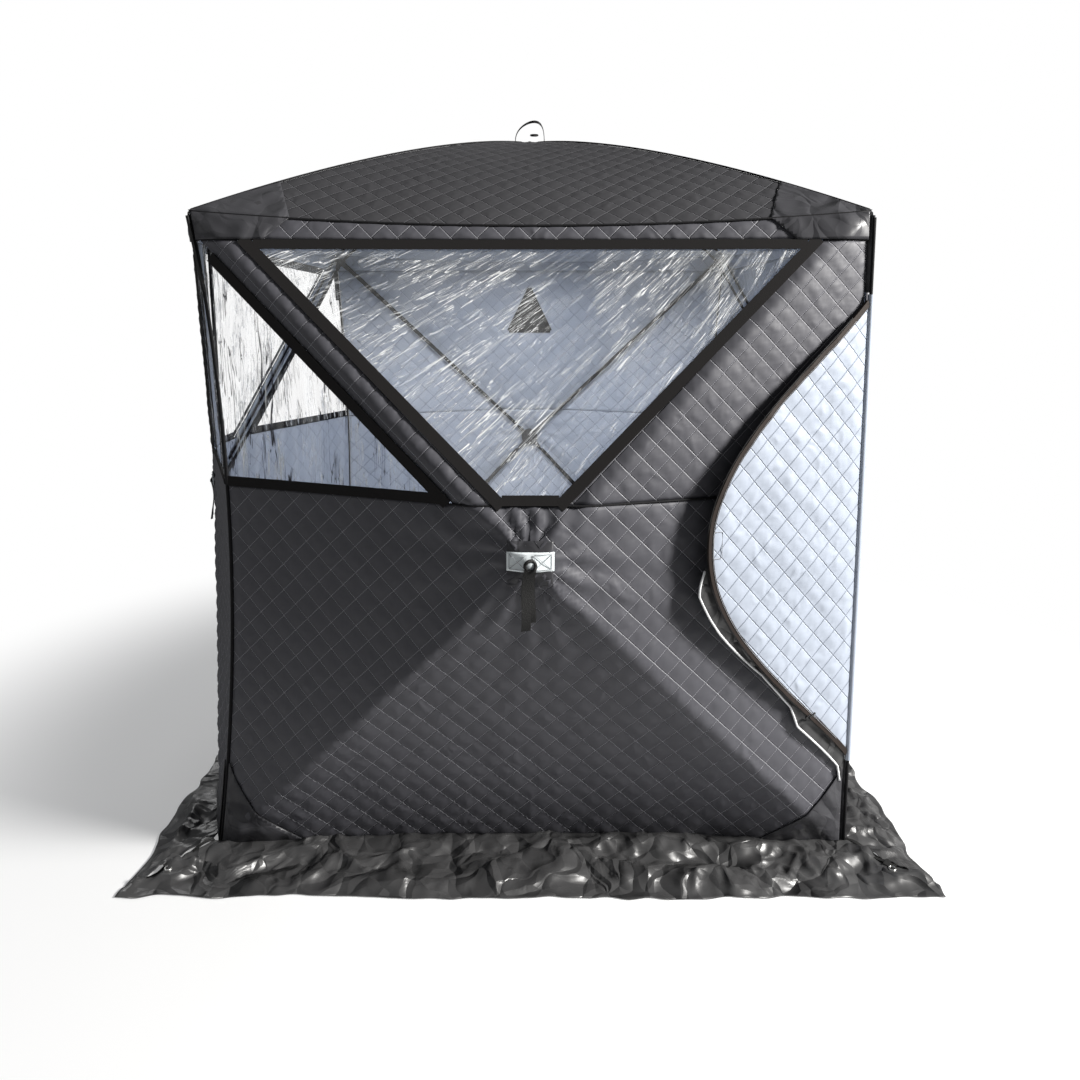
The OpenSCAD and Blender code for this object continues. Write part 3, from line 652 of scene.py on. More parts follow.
# The roof is the walls' quilted cloth made darker, as painted shade for a roof that the sun lights less, and
# given less gloss.
ROOF_OUTER_SHADED = quilted_material("roof_quilted_cloth_shaded", (0.052, 0.052, 0.056), (0.115, 0.115, 0.125),
                              0.70, 0.0020, 0.04)
LINING = quilted_material("lining", WHITE_LINING, (0.24, 0.27, 0.33), 0.46, 0.0034, 0.40)
PLAIN = plain_material("plain_cloth", BLACK_CLOTH, 0.40, 0.0130, 12.0, 0.30, 0.30)
SKIRT = plain_material("skirt_cloth", (0.042, 0.042, 0.043), 0.38, 0.0140, 8.0, 0.60, 0.7)
SLEEVE_LINING = plain_material("sleeve_lining", WHITE_LINING, 0.5, 0.0012, 22.0, 0.35)
HOOK_TAPE = woven_material("hook_tape", (0.012, 0.011, 0.011), 0.9, 0.0025)
WEBBING = woven_material("webbing", (0.016, 0.016, 0.016), 0.6, 0.0030, 0.0012)
BINDING = woven_material("binding", (0.028, 0.021, 0.018), 0.7, 0.0022)
SEAM = woven_material("seam_tape", (0.008, 0.008, 0.009), 0.75, 0.0030)
POLE_SLEEVE = woven_material("pole_sleeve", (0.004, 0.004, 0.005), 0.95, 0.0030, 0.0004, 0.05)
WHITE_PIPING = finish("white_piping", (0.80, 0.81, 0.82), 0.45)[0]
REFLECTIVE = finish("reflective_strip", (0.80, 0.86, 0.88), 0.35)[0]
THREAD = finish("thread_and_painted_light", (0.30, 0.31, 0.33), 0.6)[0]
FIBREGLASS = finish("fibreglass", (0.005, 0.005, 0.006), 0.8, 0.1)[0]
NYLON = finish("nylon", (0.016, 0.016, 0.017), 0.45)[0]
STEEL = finish("grommet_steel", (0.62, 0.62, 0.60), 0.3, 0.5, 1.0)[0]
print("materials", len(bpy.data.materials))


# %% [markdown]
# ## Window film
# Clear film shows mostly as the light it throws back from its creases. Here that light is painted: the
# creases get an opaque white colour as painted highlights, and some of them a dark one as painted
# reflections of dark surroundings. The creases fan out from the upper corner by the door, so the film
# carries a second map, Fan, whose first coordinate runs across them. They gather in some places and
# spare others.

# %% Film and mesh materials
def film_group():
    """Crease: 1 on a thin broken crease. Cover: the alpha, which shows the film's white colour, strongest on
    the creases as painted highlights. Dark: where the creases are painted dark, as reflections of dark
    surroundings.
    """
    group, given, result = node_group("film_creases", {"Across": 110.0, "Along": 4.0, "Threshold": 0.43},
                                      ("Crease", "Cover", "Dark"))

    def noise_of(spread, length, detail, distortion):
        stretch = add_node(group, "CombineXYZ", {"X": math_node(group, "MULTIPLY", given["Across"], spread),
                                                 "Y": math_node(group, "MULTIPLY", given["Along"], length)})
        place = add_node(group, "VectorMath", {0: given["Vector"], 1: stretch.outputs[0]},
                         operation="MULTIPLY").outputs[0]
        return add_node(group, "TexNoise", {"Vector": place, "Scale": 1, "Detail": detail,
                                            "Distortion": distortion}).outputs["Fac"]

    creases = []
    for spread, length, bend, wide in ((1.0, 1.0, 0.9, 0.019), (1.6, 1.4, 1.3, 0.021)):
        line = math_node(group, "SUBTRACT", noise_of(spread, length, 1, bend), 0.5)
        line = smooth_step(group, math_node(group, "ABSOLUTE", line), 0.003, wide)
        creases.append(math_node(group, "SUBTRACT", 1, line))
    broken = smooth_step(group, noise_of(0.5, 2.2, 2, 0.5), given["Threshold"],
                         math_node(group, "ADD", given["Threshold"], 0.05))
    gathered = smooth_step(group, noise_of(0.07, 0.7, 2, 0.4), 0.38, 0.56)
    crease = math_node(group, "MULTIPLY", math_node(group, "MAXIMUM", *creases), broken)
    crease = math_node(group, "MULTIPLY", crease, math_node(group, "MULTIPLY_ADD", gathered, 0.82, 0.18))
    haze = math_node(group, "MULTIPLY_ADD", gathered, 0.020, 0.020)
    # On the creases the film's white colour is shown almost opaque, as painted highlights.
    cover = math_node(group, "MAXIMUM", haze, math_node(group, "MULTIPLY", crease, 0.92))
    # Where creases are painted dark, as reflections of dark surroundings.
    dark = smooth_step(group, noise_of(0.8, 0.6, 1, 0.3), 0.48, 0.52)
    give(group, result, {"Crease": crease, "Cover": cover, "Dark": dark})
    return group


FILM_CREASES = film_group()


def film_material(name, across, along, threshold, dark=0.0):
    """Clear film: nearly nothing but thin creases painted white as highlights, and ones painted dark as
    reflections of dark surroundings, as strong as dark.
    """
    material, tree, shader = finish(name, (0.92, 0.94, 0.97), 0.12)
    film = use_group(tree, FILM_CREASES, map_vector(tree, "Fan"),
                     Across=across, Along=along, Threshold=threshold)
    painted_dark_reflection = math_node(tree, "MULTIPLY", film["Dark"], dark)
    # Painted light: the creases' colour is white as painted highlights, and dark as painted reflections of
    # dark surroundings where dark says so.
    painted_crease_light = mixed_colour(tree, painted_dark_reflection, (0.92, 0.94, 0.95), (0.04, 0.04, 0.05))
    give(tree, shader, {"Base Color": painted_crease_light, "Alpha": film["Cover"]})
    bumped(tree, shader, film["Crease"], 0.0010)
    return material


def vent_material():
    """Fine mesh: square holes between threads, as alpha."""
    material, tree, shader = finish("mesh_cloth", (0.012, 0.012, 0.012), 0.7)
    split = add_node(tree, "SeparateXYZ", {0: map_vector(tree, "Cloth")}).outputs
    threads = [math_node(tree, "GREATER_THAN", math_node(tree, "PINGPONG", split[axis], 0.0011), 0.00042)
               for axis in ("X", "Y")]
    give(tree, shader, {"Alpha": math_node(tree, "MAXIMUM", *threads)})
    return material


FILM_FAN = film_material("window_film", 110.0, 4.0, 0.43)
# The corner windows' film has about half of its creases painted dark, as reflections of dark surroundings.
FILM_UPRIGHT = film_material("window_film_upright", 50.0, 2.6, 0.44, 1.0)
MESH_CLOTH = vent_material()
print("films and mesh made")

# %% [markdown]
# ## Quilted panels
# The wrinkles gather round the hub, where the pole's push pulls the cloth into a star.

# %% Quilted panel maker
def hub_star(x, z):
    """Creases that run out from the hub, strongest close to it."""
    dx, dz = x, z - HUB_Z
    far = np.hypot(dx, dz)
    angle = np.arctan2(dz, dx) * 14 + 2.2 * value_noise(dx, dz, 0.08, 5)
    return np.sin(angle) * np.exp(-far / 0.15) * np.clip(far / 0.05, 0, 1)


def wall_panel(name, side, bows, left, right, low, high, nodes, seed, warp=None, hole=None):
    """A quilted panel between two outlines, warped in height or with a hole cut if told so."""
    places, faces, margins = grid_over(left, right, low, high)
    if hole is not None:
        places, faces, margins = hole(places, faces, margins)
    x, z = places[:, 0], places[:, 1]
    if warp is not None:
        z = warp(x, z)
    slack = 0.0016 * value_noise(x, z, 0.16, seed) + 0.0012 * crease_noise(x, z, 0.09, seed + 7, 0.5)
    slack = slack * np.clip(margins / 0.05, 0, 1) + 0.0110 * hub_star(x, z)
    puff = quilt_puff(x, z, margins)
    piece = lay_on_wall(name, side, bows, x, z, faces, 0.0056 * puff + slack - 0.0012,
                        QUILT_T - 0.0024 + 0.0092 * puff, [OUTER, LINING, SEAM], "quilted_cloth", nodes)


# %% Lower panels and the door's wall
for wall_name, side, bows in WALLS:
    if side != RIGHT:
        wall_panel(wall_name + "_lower", side, bows, left_of(bows[0]), right_of(bows[1]),
                   0.0, SEAM_Z - GAP, [wall_name + "_lower_panel"], side + 3)

DOOR_Z0, DOOR_Z1, DOOR_W, DOOR_LAP = 0.256, 1.531, 0.482, 0.012


def door_reach(z, z0, z1, width):
    """How far the edge of the door, or of its opening, stands from the hinge at height z."""
    v = (z - z0) / (z1 - z0)
    return 0.0 if v <= 0 or v >= 1 else width * math.sin(math.pi * v) ** 1.15


def doorway_edge(z):
    return left_of(0.0)(z) + door_reach(z, DOOR_Z0 + DOOR_LAP, DOOR_Z1 - DOOR_LAP, DOOR_W - DOOR_LAP)


wall_panel("right_lower", RIGHT, RIGHT_BOWS, doorway_edge, right_of(CORNER_BOW), 0.0, SEAM_Z - GAP,
           ["right_lower_panel", "right_door_sill", "right_door_side"], 41)
wall_panel("right_upper", RIGHT, RIGHT_BOWS, doorway_edge, right_of(CORNER_BOW), SEAM_Z + GAP, BAND_Z - GAP,
           ["right_upper_panel", "right_door_header"], 42)
print("lower panels and the door's wall made")

# %% [markdown]
# ## Panels round the windows
# Above the seam the front wall has a plain quilted panel on the door's side and one narrow arm over
# the other pole. The left wall has an arm over each pole, and the back wall is quilted all over, with
# the triangular vent.

# %% Upper panels
UPPER = (SEAM_Z + GAP, BAND_Z - GAP)
wall_panel("front_right_upper", FRONT, FRONT_BOWS, lambda z: float(ridge_x(z)) - ARM_W, right_of(0.0),
           *UPPER, ["front_right_panel"], 11)
ARMS = (("front_arm", FRONT, FRONT_BOWS, -1, "front_left_arm", 12),
        ("left_arm", LEFT, PLAIN_BOWS, -1, "left_arms", 12),
        ("left_arm", LEFT, PLAIN_BOWS, 1, "left_arms", 14))
for name, side, bows, hand, node, seed in ARMS:
    wall_panel(name, side, bows, lambda z: hand * float(ridge_x(z)) - ARM_W,
               lambda z: hand * float(ridge_x(z)) + ARM_W, *UPPER, [node], seed)

VENT_W, VENT_H, VENT_Z = 0.193, 0.198, 1.396


def vent_half(z):
    return VENT_W / 2 * (VENT_Z + VENT_H - z) / VENT_H


def vent_hole(places, faces, margins):
    """Takes the vent's triangle out of the grid and pulls the hole's edge onto it."""
    middles = np.array([places[face].mean(axis=0) for face in faces])
    inside = ((VENT_Z < middles[:, 1]) & (middles[:, 1] < VENT_Z + VENT_H)
              & (np.abs(middles[:, 0]) < vent_half(middles[:, 1])))
    kept = [face for face, gone in zip(faces, inside) if not gone]
    rows = sorted({p for face in kept for p in face})
    places = places.copy()
    for p in {p for face, gone in zip(faces, inside) if gone for p in face} & set(rows):
        x, z = places[p]
        if z - VENT_Z < 0.006 and abs(x) < VENT_W / 2:
            places[p] = (x, VENT_Z)
        else:
            places[p] = (math.copysign(max(vent_half(z), 0.0), x), z)
    order = {old: new for new, old in enumerate(rows)}
    away = np.maximum(np.abs(places[:, 0]) - vent_half(places[:, 1]), VENT_Z - places[:, 1])
    margins = np.minimum(margins, np.where(places[:, 1] < VENT_Z + VENT_H + 0.02, np.maximum(away, 0), 1))
    return places[rows], [[order[p] for p in face] for face in kept], margins[rows]


wall_panel("back_upper", BACK, PLAIN_BOWS, left_of(CORNER_BOW), right_of(CORNER_BOW), *UPPER,
           ["back_upper_panel"], 21, hole=vent_hole)
print("upper panels made")

# %% [markdown]
# ## The roof
# A quarter of the roof runs from the hub out to its eave. Its grid is an even triangle, and each
# place in it has a share of the way out and a share along the eave. Plain patches lie on its corners.

# %% Roof quarters and corner patches
def roof_sheet(name, side, left, right, low, high, thickness, lift, puffs, materials, slot, node, seed):
    """A sheet of the roof. puffs are how far its outer and its inner face puff between the stitches."""
    places, faces, margins = grid_over(left, right, low, high)
    x, d = places[:, 0], places[:, 1]
    base = roof_place(x, d)
    puff = quilt_puff(x, d, margins)
    slack = 0.0025 * value_noise(x, d, 0.22, seed) * np.clip(margins / 0.05, 0, 1) + lift
    outer, inner = base.copy(), base.copy()
    outer[:, 2] += puffs[0] * puff + slack - 0.0012
    inner[:, 2] += slack - thickness - puffs[1] * puff
    piece = shell_mesh(name, outer, inner, flipped(faces), places, materials, slot,
                       turn=turned(side), nodes=[node])


PATCH_UP, PATCH_ALONG = 0.190, 0.262
PATCH_NEAR = TOP_HALF - PATCH_UP


def roof_patch_edge(d):
    return PATCH_NEAR + (TOP_HALF - PATCH_ALONG - PATCH_NEAR) * (d - PATCH_NEAR) / PATCH_UP


for roof_name, side, bows in WALLS:
    roof_sheet("roof_" + roof_name, side, lambda d: -d, lambda d: d, 0.004, TOP_HALF, QUILT_T - 0.0012,
               0.0, (0.0042, 0.0034), [ROOF_OUTER_SHADED, LINING, SEAM], "quilted_cloth",
               "roof_" + roof_name + "_panel", side + 5)
    for hand in (-1, 1):
        roof_sheet("roof_corner_patch", side, *mirrored(roof_patch_edge, lambda d: d, hand), PATCH_NEAR,
                   TOP_HALF + 0.002, 0.0016, 0.0050, (0.0, 0.0), [PLAIN, PLAIN, SEAM], "plain_cloth",
                   "top_corner_patches", side + 9)
print("roof made")

# %% [markdown]
# ## Eave bands
# A quilted band joins the roof to each wall. Its lower edge is level and its upper edge is the sagging
# eave, so its grid is stretched to fit between them. Plain cloth covers its ends, where the poles' cups
# would wear the quilting.

# %% Eave bands
def band_share(z):
    return (z - BAND_Z) / (CORNER_H - BAND_Z)


def band_warp(x, z):
    return BAND_Z + band_share(z) * (eave_z(x / TOP_HALF) - 0.001 - BAND_Z)


for band_name, side, bows in WALLS:
    wall_panel("eave_band_" + band_name, side, bows, left_of(bows[0]), right_of(bows[1]),
               BAND_Z + GAP, CORNER_H, ["eave_bands"], side + 31, warp=band_warp)
    for hand in (-1, 1):
        outline = mirrored(lambda z: TOP_HALF - 0.20 - 0.062 * band_share(z), right_of(bows[hand > 0]), hand)
        places, faces, margins = grid_over(*outline, BAND_Z + GAP, CORNER_H, step=0.010)
        x, z = places[:, 0], band_warp(places[:, 0], places[:, 1])
        rise = 0.0025 * crease_noise(x, z, 0.05, 35 + side, 0.7) * np.clip(margins / 0.02, 0, 1)
        lay_on_wall("band_corner_patch", side, bows, x, z, faces, 0.0068 + rise, 0.0018 + rise,
                    [PLAIN, PLAIN, SEAM], "plain_cloth")

# %% [markdown]
# ## The films
# Each window is one sheet of film with a little slack. Where its creases fan out, the Fan map holds
# the angle and the distance from the fan's foot; in the corner windows they run upright.

# %% Window film
FAN_FOOT = (1.05, 2.24)


def film_panel(name, side, bows, left, right, material, foot, node, seed):
    """A sheet of clear film with slack in it. foot is where its creases fan out from, or None."""
    places, faces, margins = grid_over(left, right, *UPPER, step=0.014)
    x, z = places[:, 0], places[:, 1]
    if foot is None:
        across, along, slack_at = x, z, x
    else:
        across, along = np.arctan2(foot[0] - x, foot[1] - z), np.hypot(x - foot[0], z - foot[1])
        slack_at = across * 0.8
    slack = 0.004 * value_noise(slack_at, along, 0.07, seed) + 0.003 * value_noise(x, z, 0.20, seed + 1)
    slack = slack * np.clip(margins / 0.04, 0, 1)
    piece = lay_on_wall(name, side, bows, x, z, faces, 0.0005 - slack, 0.0010, [material] * 3,
                        "window_film", [node])
    add_map(piece, "Fan", np.column_stack([across, along]))


def arm_in(z):
    return max(float(ridge_x(z)) - ARM_W - 0.0004, 0.004)


def arm_out(z):
    return float(ridge_x(z)) + ARM_W + 0.0004


WINDOWS = (("front_window", FRONT, FRONT_BOWS, 0, "front_window_film", 51),
           ("front_corner_window", FRONT, FRONT_BOWS, -1, "front_corner_film", 52),
           ("left_window", LEFT, PLAIN_BOWS, 0, "left_window_film", 53),
           ("left_back_window", LEFT, PLAIN_BOWS, -1, "left_side_films", 54),
           ("left_front_window", LEFT, PLAIN_BOWS, 1, "left_side_films", 55))
for name, side, bows, hand, node, seed in WINDOWS:
    if hand == 0:
        film_panel(name, side, bows, lambda z: -arm_in(z), arm_in, FILM_FAN, FAN_FOOT, node, seed)
    else:
        outline = mirrored(arm_out, right_of(CORNER_BOW), hand)
        film_panel(name, side, bows, *outline, FILM_UPRIGHT, None, node, seed)
print("films laid")

# %% [markdown]
# ## Window tapes
# A black hook-and-loop tape borders each window, for the blind that can be pressed over it. It lies
# on the cloth beside the slanting edges and along the seam below.

# %% Window tapes
SLANTED_W = TAPE_W + 0.004


def tape_run(name, side, bows, start, end, node, width=TAPE_W):
    """A tape on the wall between two places (x, z)."""
    start, end = np.array(start), np.array(end)
    long = np.linalg.norm(end - start)
    share = np.linspace(0, 1, max(2, int(long / 0.03)))
    x, z = (start[axis] + (end[axis] - start[axis]) * share for axis in (0, 1))
    side_x, side_z = -(end[1] - start[1]) / long * width / 2, (end[0] - start[0]) / long * width / 2
    low, high = on_wall(x - side_x, z - side_z, bows, 0.0048), on_wall(x + side_x, z + side_z, bows, 0.0048)
    strip(name, (low + high) / 2, high - low, width, 0.0022, HOOK_TAPE, "hook_tape",
          turn=turned(side), nodes=[node])


def slanted_tape(name, side, bows, hand, offset, high, node):
    """A tape beside a pole, offset level from the pole's line, from the seam up to a height."""
    low = SEAM_Z - 0.001
    tape_run(name, side, bows, (hand * (float(ridge_x(low)) + offset), low),
             (hand * (float(ridge_x(high)) + offset), high), node, SLANTED_W)


def window_tapes(side, bows, hands, node):
    for hand in (-1, 1):
        slanted_tape("top_window_tape", side, bows, hand, -ARM_W - 0.016, BAND_Z + 0.003, node)
    foot = SEAM_Z + TAPE_W / 2
    for z in (foot, BAND_Z - TAPE_W / 2):
        reach = float(ridge_x(z)) - ARM_W - 0.030
        tape_run("level_window_tape", side, bows, (-reach, z), (reach, z), node)
    for hand in hands:
        slanted_tape("side_window_tape", side, bows, hand, ARM_W + 0.016, BAND_Z - 0.045, node)
        ends = sorted(hand * reach for reach in (arm_out(foot) + 0.0036, float(right_of(CORNER_BOW)(foot))))
        tape_run("side_window_foot_tape", side, bows, (ends[0], foot), (ends[1], foot), node)


window_tapes(FRONT, FRONT_BOWS, (-1,), "front_window_tapes")
window_tapes(LEFT, PLAIN_BOWS, (-1, 1), "left_window_tapes")
print("windows made")

# %% [markdown]
# ## Seams, piping and pole sleeves
# The free corners carry a bowed piping from the ground to the eave. The door's corner is straight,
# because the door turns about it, and its piping follows with the hinge. The half-height seam and
# the eave are narrow taped seams. Inside, each pole runs behind a dark band sewn to the lining, and
# these bands draw the dark cross on the far wall when one looks in through the window.

# %% Corner piping and seams
for name, side in (("front_left", LEFT), ("back_left", BACK), ("back_right", RIGHT)):
    heights = np.linspace(0.002, CORNER_H - 0.010, 40)
    reach = edge_x(heights, CORNER_BOW) - 0.0015
    tube("piping_" + name, np.column_stack([reach, -reach, heights]), 0.005, SEAM, 10, "plain_cloth",
         turn=turned(side), nodes=["corner_piping"] if side == LEFT else ())

for wall_name, side, bows in WALLS:
    start = doorway_edge(SEAM_Z) if side == RIGHT else left_of(bows[0])(SEAM_Z)
    seam = on_wall(np.linspace(start, right_of(bows[1])(SEAM_Z), 60), SEAM_Z, bows, 0.0010)
    band = on_wall(np.linspace(left_of(bows[0])(BAND_Z), right_of(bows[1])(BAND_Z), 60), BAND_Z, bows, 0.0010)
    x = np.linspace(-TOP_HALF + 0.006, TOP_HALF - 0.006, 60)
    eave = np.column_stack([x, -eave_y(x / TOP_HALF) - 0.001, eave_z(x / TOP_HALF) - 0.001])
    along = np.linspace(0.03, TOP_HALF - 0.004, 40)
    ridge = roof_place(along, along) + [0, 0, 0.002]
    for name, line, radius in (("half_height_seam", seam, 0.0028), ("eave_seam", eave, 0.0035),
                               ("band_seam", band, 0.0022), ("roof_ridge_seam", ridge, 0.0028)):
        tube(name, line, radius, SEAM, 6, "binding", turn=turned(side))
print("seams made")

# %% Pole sleeves inside the walls and the roof
SLEEVE_BAND_W, SLEEVE_BAND_T, SLEEVE_IN = 0.013, 0.0016, 0.0125
for wall_name, side, bows in WALLS:
    t = np.linspace(0.07, 0.95, 30)
    for hand in (-1, 1):
        for end_x, end_z in ((TOP_HALF, CORNER_H), (BOTTOM_HALF, 0.0)):
            x, z = hand * end_x * t, HUB_Z + (end_z - HUB_Z) * t
            strip("pole_sleeve", on_wall(x, z, bows, -SLEEVE_IN), (z[0] - z[-1], 0, x[-1] - x[0]),
                  SLEEVE_BAND_W, SLEEVE_BAND_T, POLE_SLEEVE, "webbing", turn=turned(side))
    t = np.linspace(0.05, 0.95, 30) * TOP_HALF
    strip("roof_pole_sleeve", roof_place(t, t) - [0, 0, SLEEVE_IN], (1, 1, 0),
          SLEEVE_BAND_W, SLEEVE_BAND_T, POLE_SLEEVE, "webbing", turn=turned(side))
print("pole sleeves made")

# %% [markdown]
# ## Hub patches and pull straps
# A black square of cloth covers each hub, with a reflective strip stitched over it with two crosses,
# and webbing tabs hang from the hub's stud. One pulls on them to pop the wall out.

# %% Hub patches and pull straps
PATCH_HALF = 0.056


def hub_patch(name, side, bows, half, low, high, lift, wave, seed, material, slot, nodes=()):
    """A patch over the hub, half a width to each side of it, whose cloth stands up in low waves."""
    wide, deep = int(2 * half / 0.005), int((high - low) / 0.005)
    x, z = np.meshgrid(np.linspace(-half, half, wide + 1), np.linspace(HUB_Z + low, HUB_Z + high, deep + 1))
    x, z = x.ravel(), z.ravel()
    rise = wave * value_noise(x, z, 0.025, seed)
    lay_on_wall(name, side, bows, x, z, row_faces(wide, deep), lift + rise, 0.0012, [material] * 3,
                slot, nodes)


def strip_stitches(side, bows):
    """Two crossed boxes of stitches, one on each half of the reflective strip."""
    for x0, x1 in ((-0.052, -0.010), (0.010, 0.052)):
        corners = [(x0, HUB_Z - 0.011), (x1, HUB_Z + 0.026), (x0, HUB_Z + 0.026), (x1, HUB_Z - 0.011)]
        for a, b in ((0, 1), (2, 3), (0, 2), (3, 1), (2, 1), (0, 3)):
            x, z = (np.linspace(corners[a][axis], corners[b][axis], 8) for axis in (0, 1))
            tube("strip_stitch", on_wall(x, z, bows, 0.0112), 0.0006, THREAD, 4, "binding", turn=turned(side))


def pull_strap(side):
    """A knot round the hub's stud with two tabs of webbing hanging from it, each a little curled."""
    stud = HUB_OUT + 0.008
    turn = np.linspace(0, 2 * math.pi, 25)
    ring = np.column_stack([0.013 * np.cos(turn), -stud + 0.004 * np.sin(2 * turn),
                            HUB_Z + 0.013 * np.sin(turn)])
    tube("pull_knot", ring, 0.0042, WEBBING, 8, "webbing", turn=turned(side), nodes=["pull_straps"])
    fall = np.linspace(0, 1, 22)
    for offset, length, sway in ((-0.004, 0.146, 0.010), (0.003, 0.128, 0.004)):
        points = np.column_stack([offset - sway * fall - 0.003 * np.sin(5 * fall),
                                  offset * fall + 0.004 * np.sin(4 * fall) - stud - 0.004,
                                  HUB_Z - 0.008 - length * fall])
        across = np.column_stack([np.ones(22), 0.25 * np.sin(3 * fall), 0.12 * np.ones(22)])
        strip("pull_tab", points, across, 0.023, 0.0018, WEBBING, "webbing", turn=turned(side))


for wall_name, side, bows in WALLS:
    hub_patch("hub_patch", side, bows, PATCH_HALF, -PATCH_HALF, PATCH_HALF, 0.0062, 0.0022, side + 61,
              PLAIN, "plain_cloth", ["hub_patches"])
    hub_patch("reflective_strip", side, bows, 0.058, -0.016, 0.031, 0.0092, 0.0018, side + 67,
              REFLECTIVE, "white_piping")
    strip_stitches(side, bows)
    pull_strap(side)
print("hubs dressed")

# %% [markdown]
# ## The roof's strap
# The roof hub has a loop of webbing to carry the folded shelter by. It stands up and leans over, with
# both ends sewn down beside the hub.

# %% Roof strap
t = np.linspace(0, 1, 40)
loop = np.column_stack([-0.052 * np.cos(math.pi * t) + 0.012 * np.sin(math.pi * t) ** 2,
                        0.012 * np.sin(2 * math.pi * t), ROOF_H + 0.004 + 0.074 * np.sin(math.pi * t) ** 0.8])
lean = np.column_stack([0.15 * np.sin(3 * t), np.ones(40), 0.2 * np.cos(4 * t)])
strip("roof_strap_loop", loop, lean, 0.024, 0.0022, WEBBING, "webbing", nodes=["roof_strap"])
tie = np.linspace(0, 2 * math.pi, 20)
tie_line = np.column_stack([0.016 + 0.012 * np.cos(tie), 0.014 * np.sin(tie),
                            ROOF_H + 0.030 + 0.004 * np.sin(tie)])
tube("roof_strap_tie", tie_line, 0.0035, WEBBING, 8, "webbing")
for middle in (-0.062, 0.062):
    x = np.linspace(middle - 0.022, middle + 0.022, 6)
    fall = (ROOF_H - eave_z(0)) * (np.abs(x) / eave_y(0)) ** ROOF_ROUND
    strip("roof_strap_foot", np.column_stack([x, 0 * x, ROOF_H - fall + 0.0065]), (0, 1, 0), 0.028, 0.002,
          WEBBING, "webbing")

# %% [markdown]
# ## The door
# The door turns about the straight corner. Its leaf is made where the hinge's axis is upright and is
# then set into place with the hinge's own place, which the frame gives, and the corner's lean. The
# leaf's lining faces outwards because the door is folded back on the front wall.

# %% Door placing
hinge = next(joint for joint in frame["joints"] if joint["name"] == "door_hinge")
print("hinge", {k: hinge[k] for k in hinge if k in ("pos_m", "axis", "pos")})
LEAN = math.atan2((TOP_HALF - BOTTOM_HALF) * math.sqrt(2), CORNER_H)
HINGE_AT = Vector(hinge["pos_m"])
REST_TURN = math.radians(-112.63)
TO_DOOR = (Matrix.Translation(HINGE_AT) @ Matrix.Rotation(math.radians(-45), 4, "Z")
           @ Matrix.Rotation(LEAN, 4, "Y") @ Matrix.Rotation(REST_TURN, 4, "Z"))
LEAF_START, BIND_W, FLAP_W, SLEEVE_R = 0.0084, 0.014, 0.042, 0.008


def door_edge(v, out=0.0):
    """Places (x, z) on the door's curved edge, moved outwards by out."""
    def raw(s):
        s = np.clip(s, 0.0005, 0.9995)
        return DOOR_W * np.sin(math.pi * s) ** 1.15, DOOR_Z0 + (DOOR_Z1 - DOOR_Z0) * s

    v = np.asarray(v, float)
    x, z = raw(v)
    (x1, z1), (x0, z0) = raw(v + 0.004), raw(v - 0.004)
    size = np.hypot(x1 - x0, z1 - z0)
    return x + out * (z1 - z0) / size, z - out * (x1 - x0) / size


def leaf_wave(x, z):
    """The slack of the hanging leaf, no more than a few millimetres and none at its hinge."""
    free = np.clip((x - LEAF_START) / 0.10, 0, 1)
    return free * (0.0035 * value_noise(x, z, 0.17, 71) + 0.0022 * crease_noise(x, z, 0.09, 72, 0.9))


def on_leaf(x, z, lift):
    x, z = np.asarray(x, float), np.asarray(z, float)
    return np.column_stack([x, leaf_wave(x, z) + lift, z])


# %% Door leaf
ON_DOOR = {"turn": TO_DOOR, "body": "door"}
places, faces, margins = grid_over(
    lambda z: LEAF_START, lambda z: max(door_reach(z, DOOR_Z0, DOOR_Z1, DOOR_W) - 0.004, LEAF_START + 0.0005),
    DOOR_Z0 + 0.012, DOOR_Z1 - 0.012)
x, z = places[:, 0], places[:, 1]
puff = quilt_puff(x, z, margins + 0.006) * np.clip(margins / 0.03, 0.35, 1)
outside, lining = on_leaf(x, z, -0.0010 - 0.0036 * puff), on_leaf(x, z, 0.0010 + 0.0052 * puff)
leaf = shell_mesh("door_leaf", outside, lining, faces, places, [OUTER, LINING, SEAM], "lining",
                  nodes=["door_panel"], **ON_DOOR)
print("leaf", len(leaf.data.polygons))

# %% [markdown]
# The curved edge has a dark binding folded over it, with half of the zip sewn beside it on the lining's
# side. Behind the lower half stands the draught flap, edged with white piping.

# %% Door binding and zip
v = np.linspace(0.012, 0.988, 150)
(outer_x, outer_z), (inner_x, inner_z) = door_edge(v), door_edge(v, -BIND_W)
rings = np.stack([on_leaf(inner_x, inner_z, -0.0052), on_leaf(outer_x, outer_z, -0.0038),
                  on_leaf(outer_x + 0.0015, outer_z, 0.0), on_leaf(outer_x, outer_z, 0.0038),
                  on_leaf(inner_x, inner_z, 0.0052)], axis=1)
rings[:, :, 0] = np.maximum(rings[:, :, 0], LEAF_START)
sweep("door_binding_tape", rings, BINDING, "binding", nodes=["door_binding"], smooth=False, **ON_DOOR)

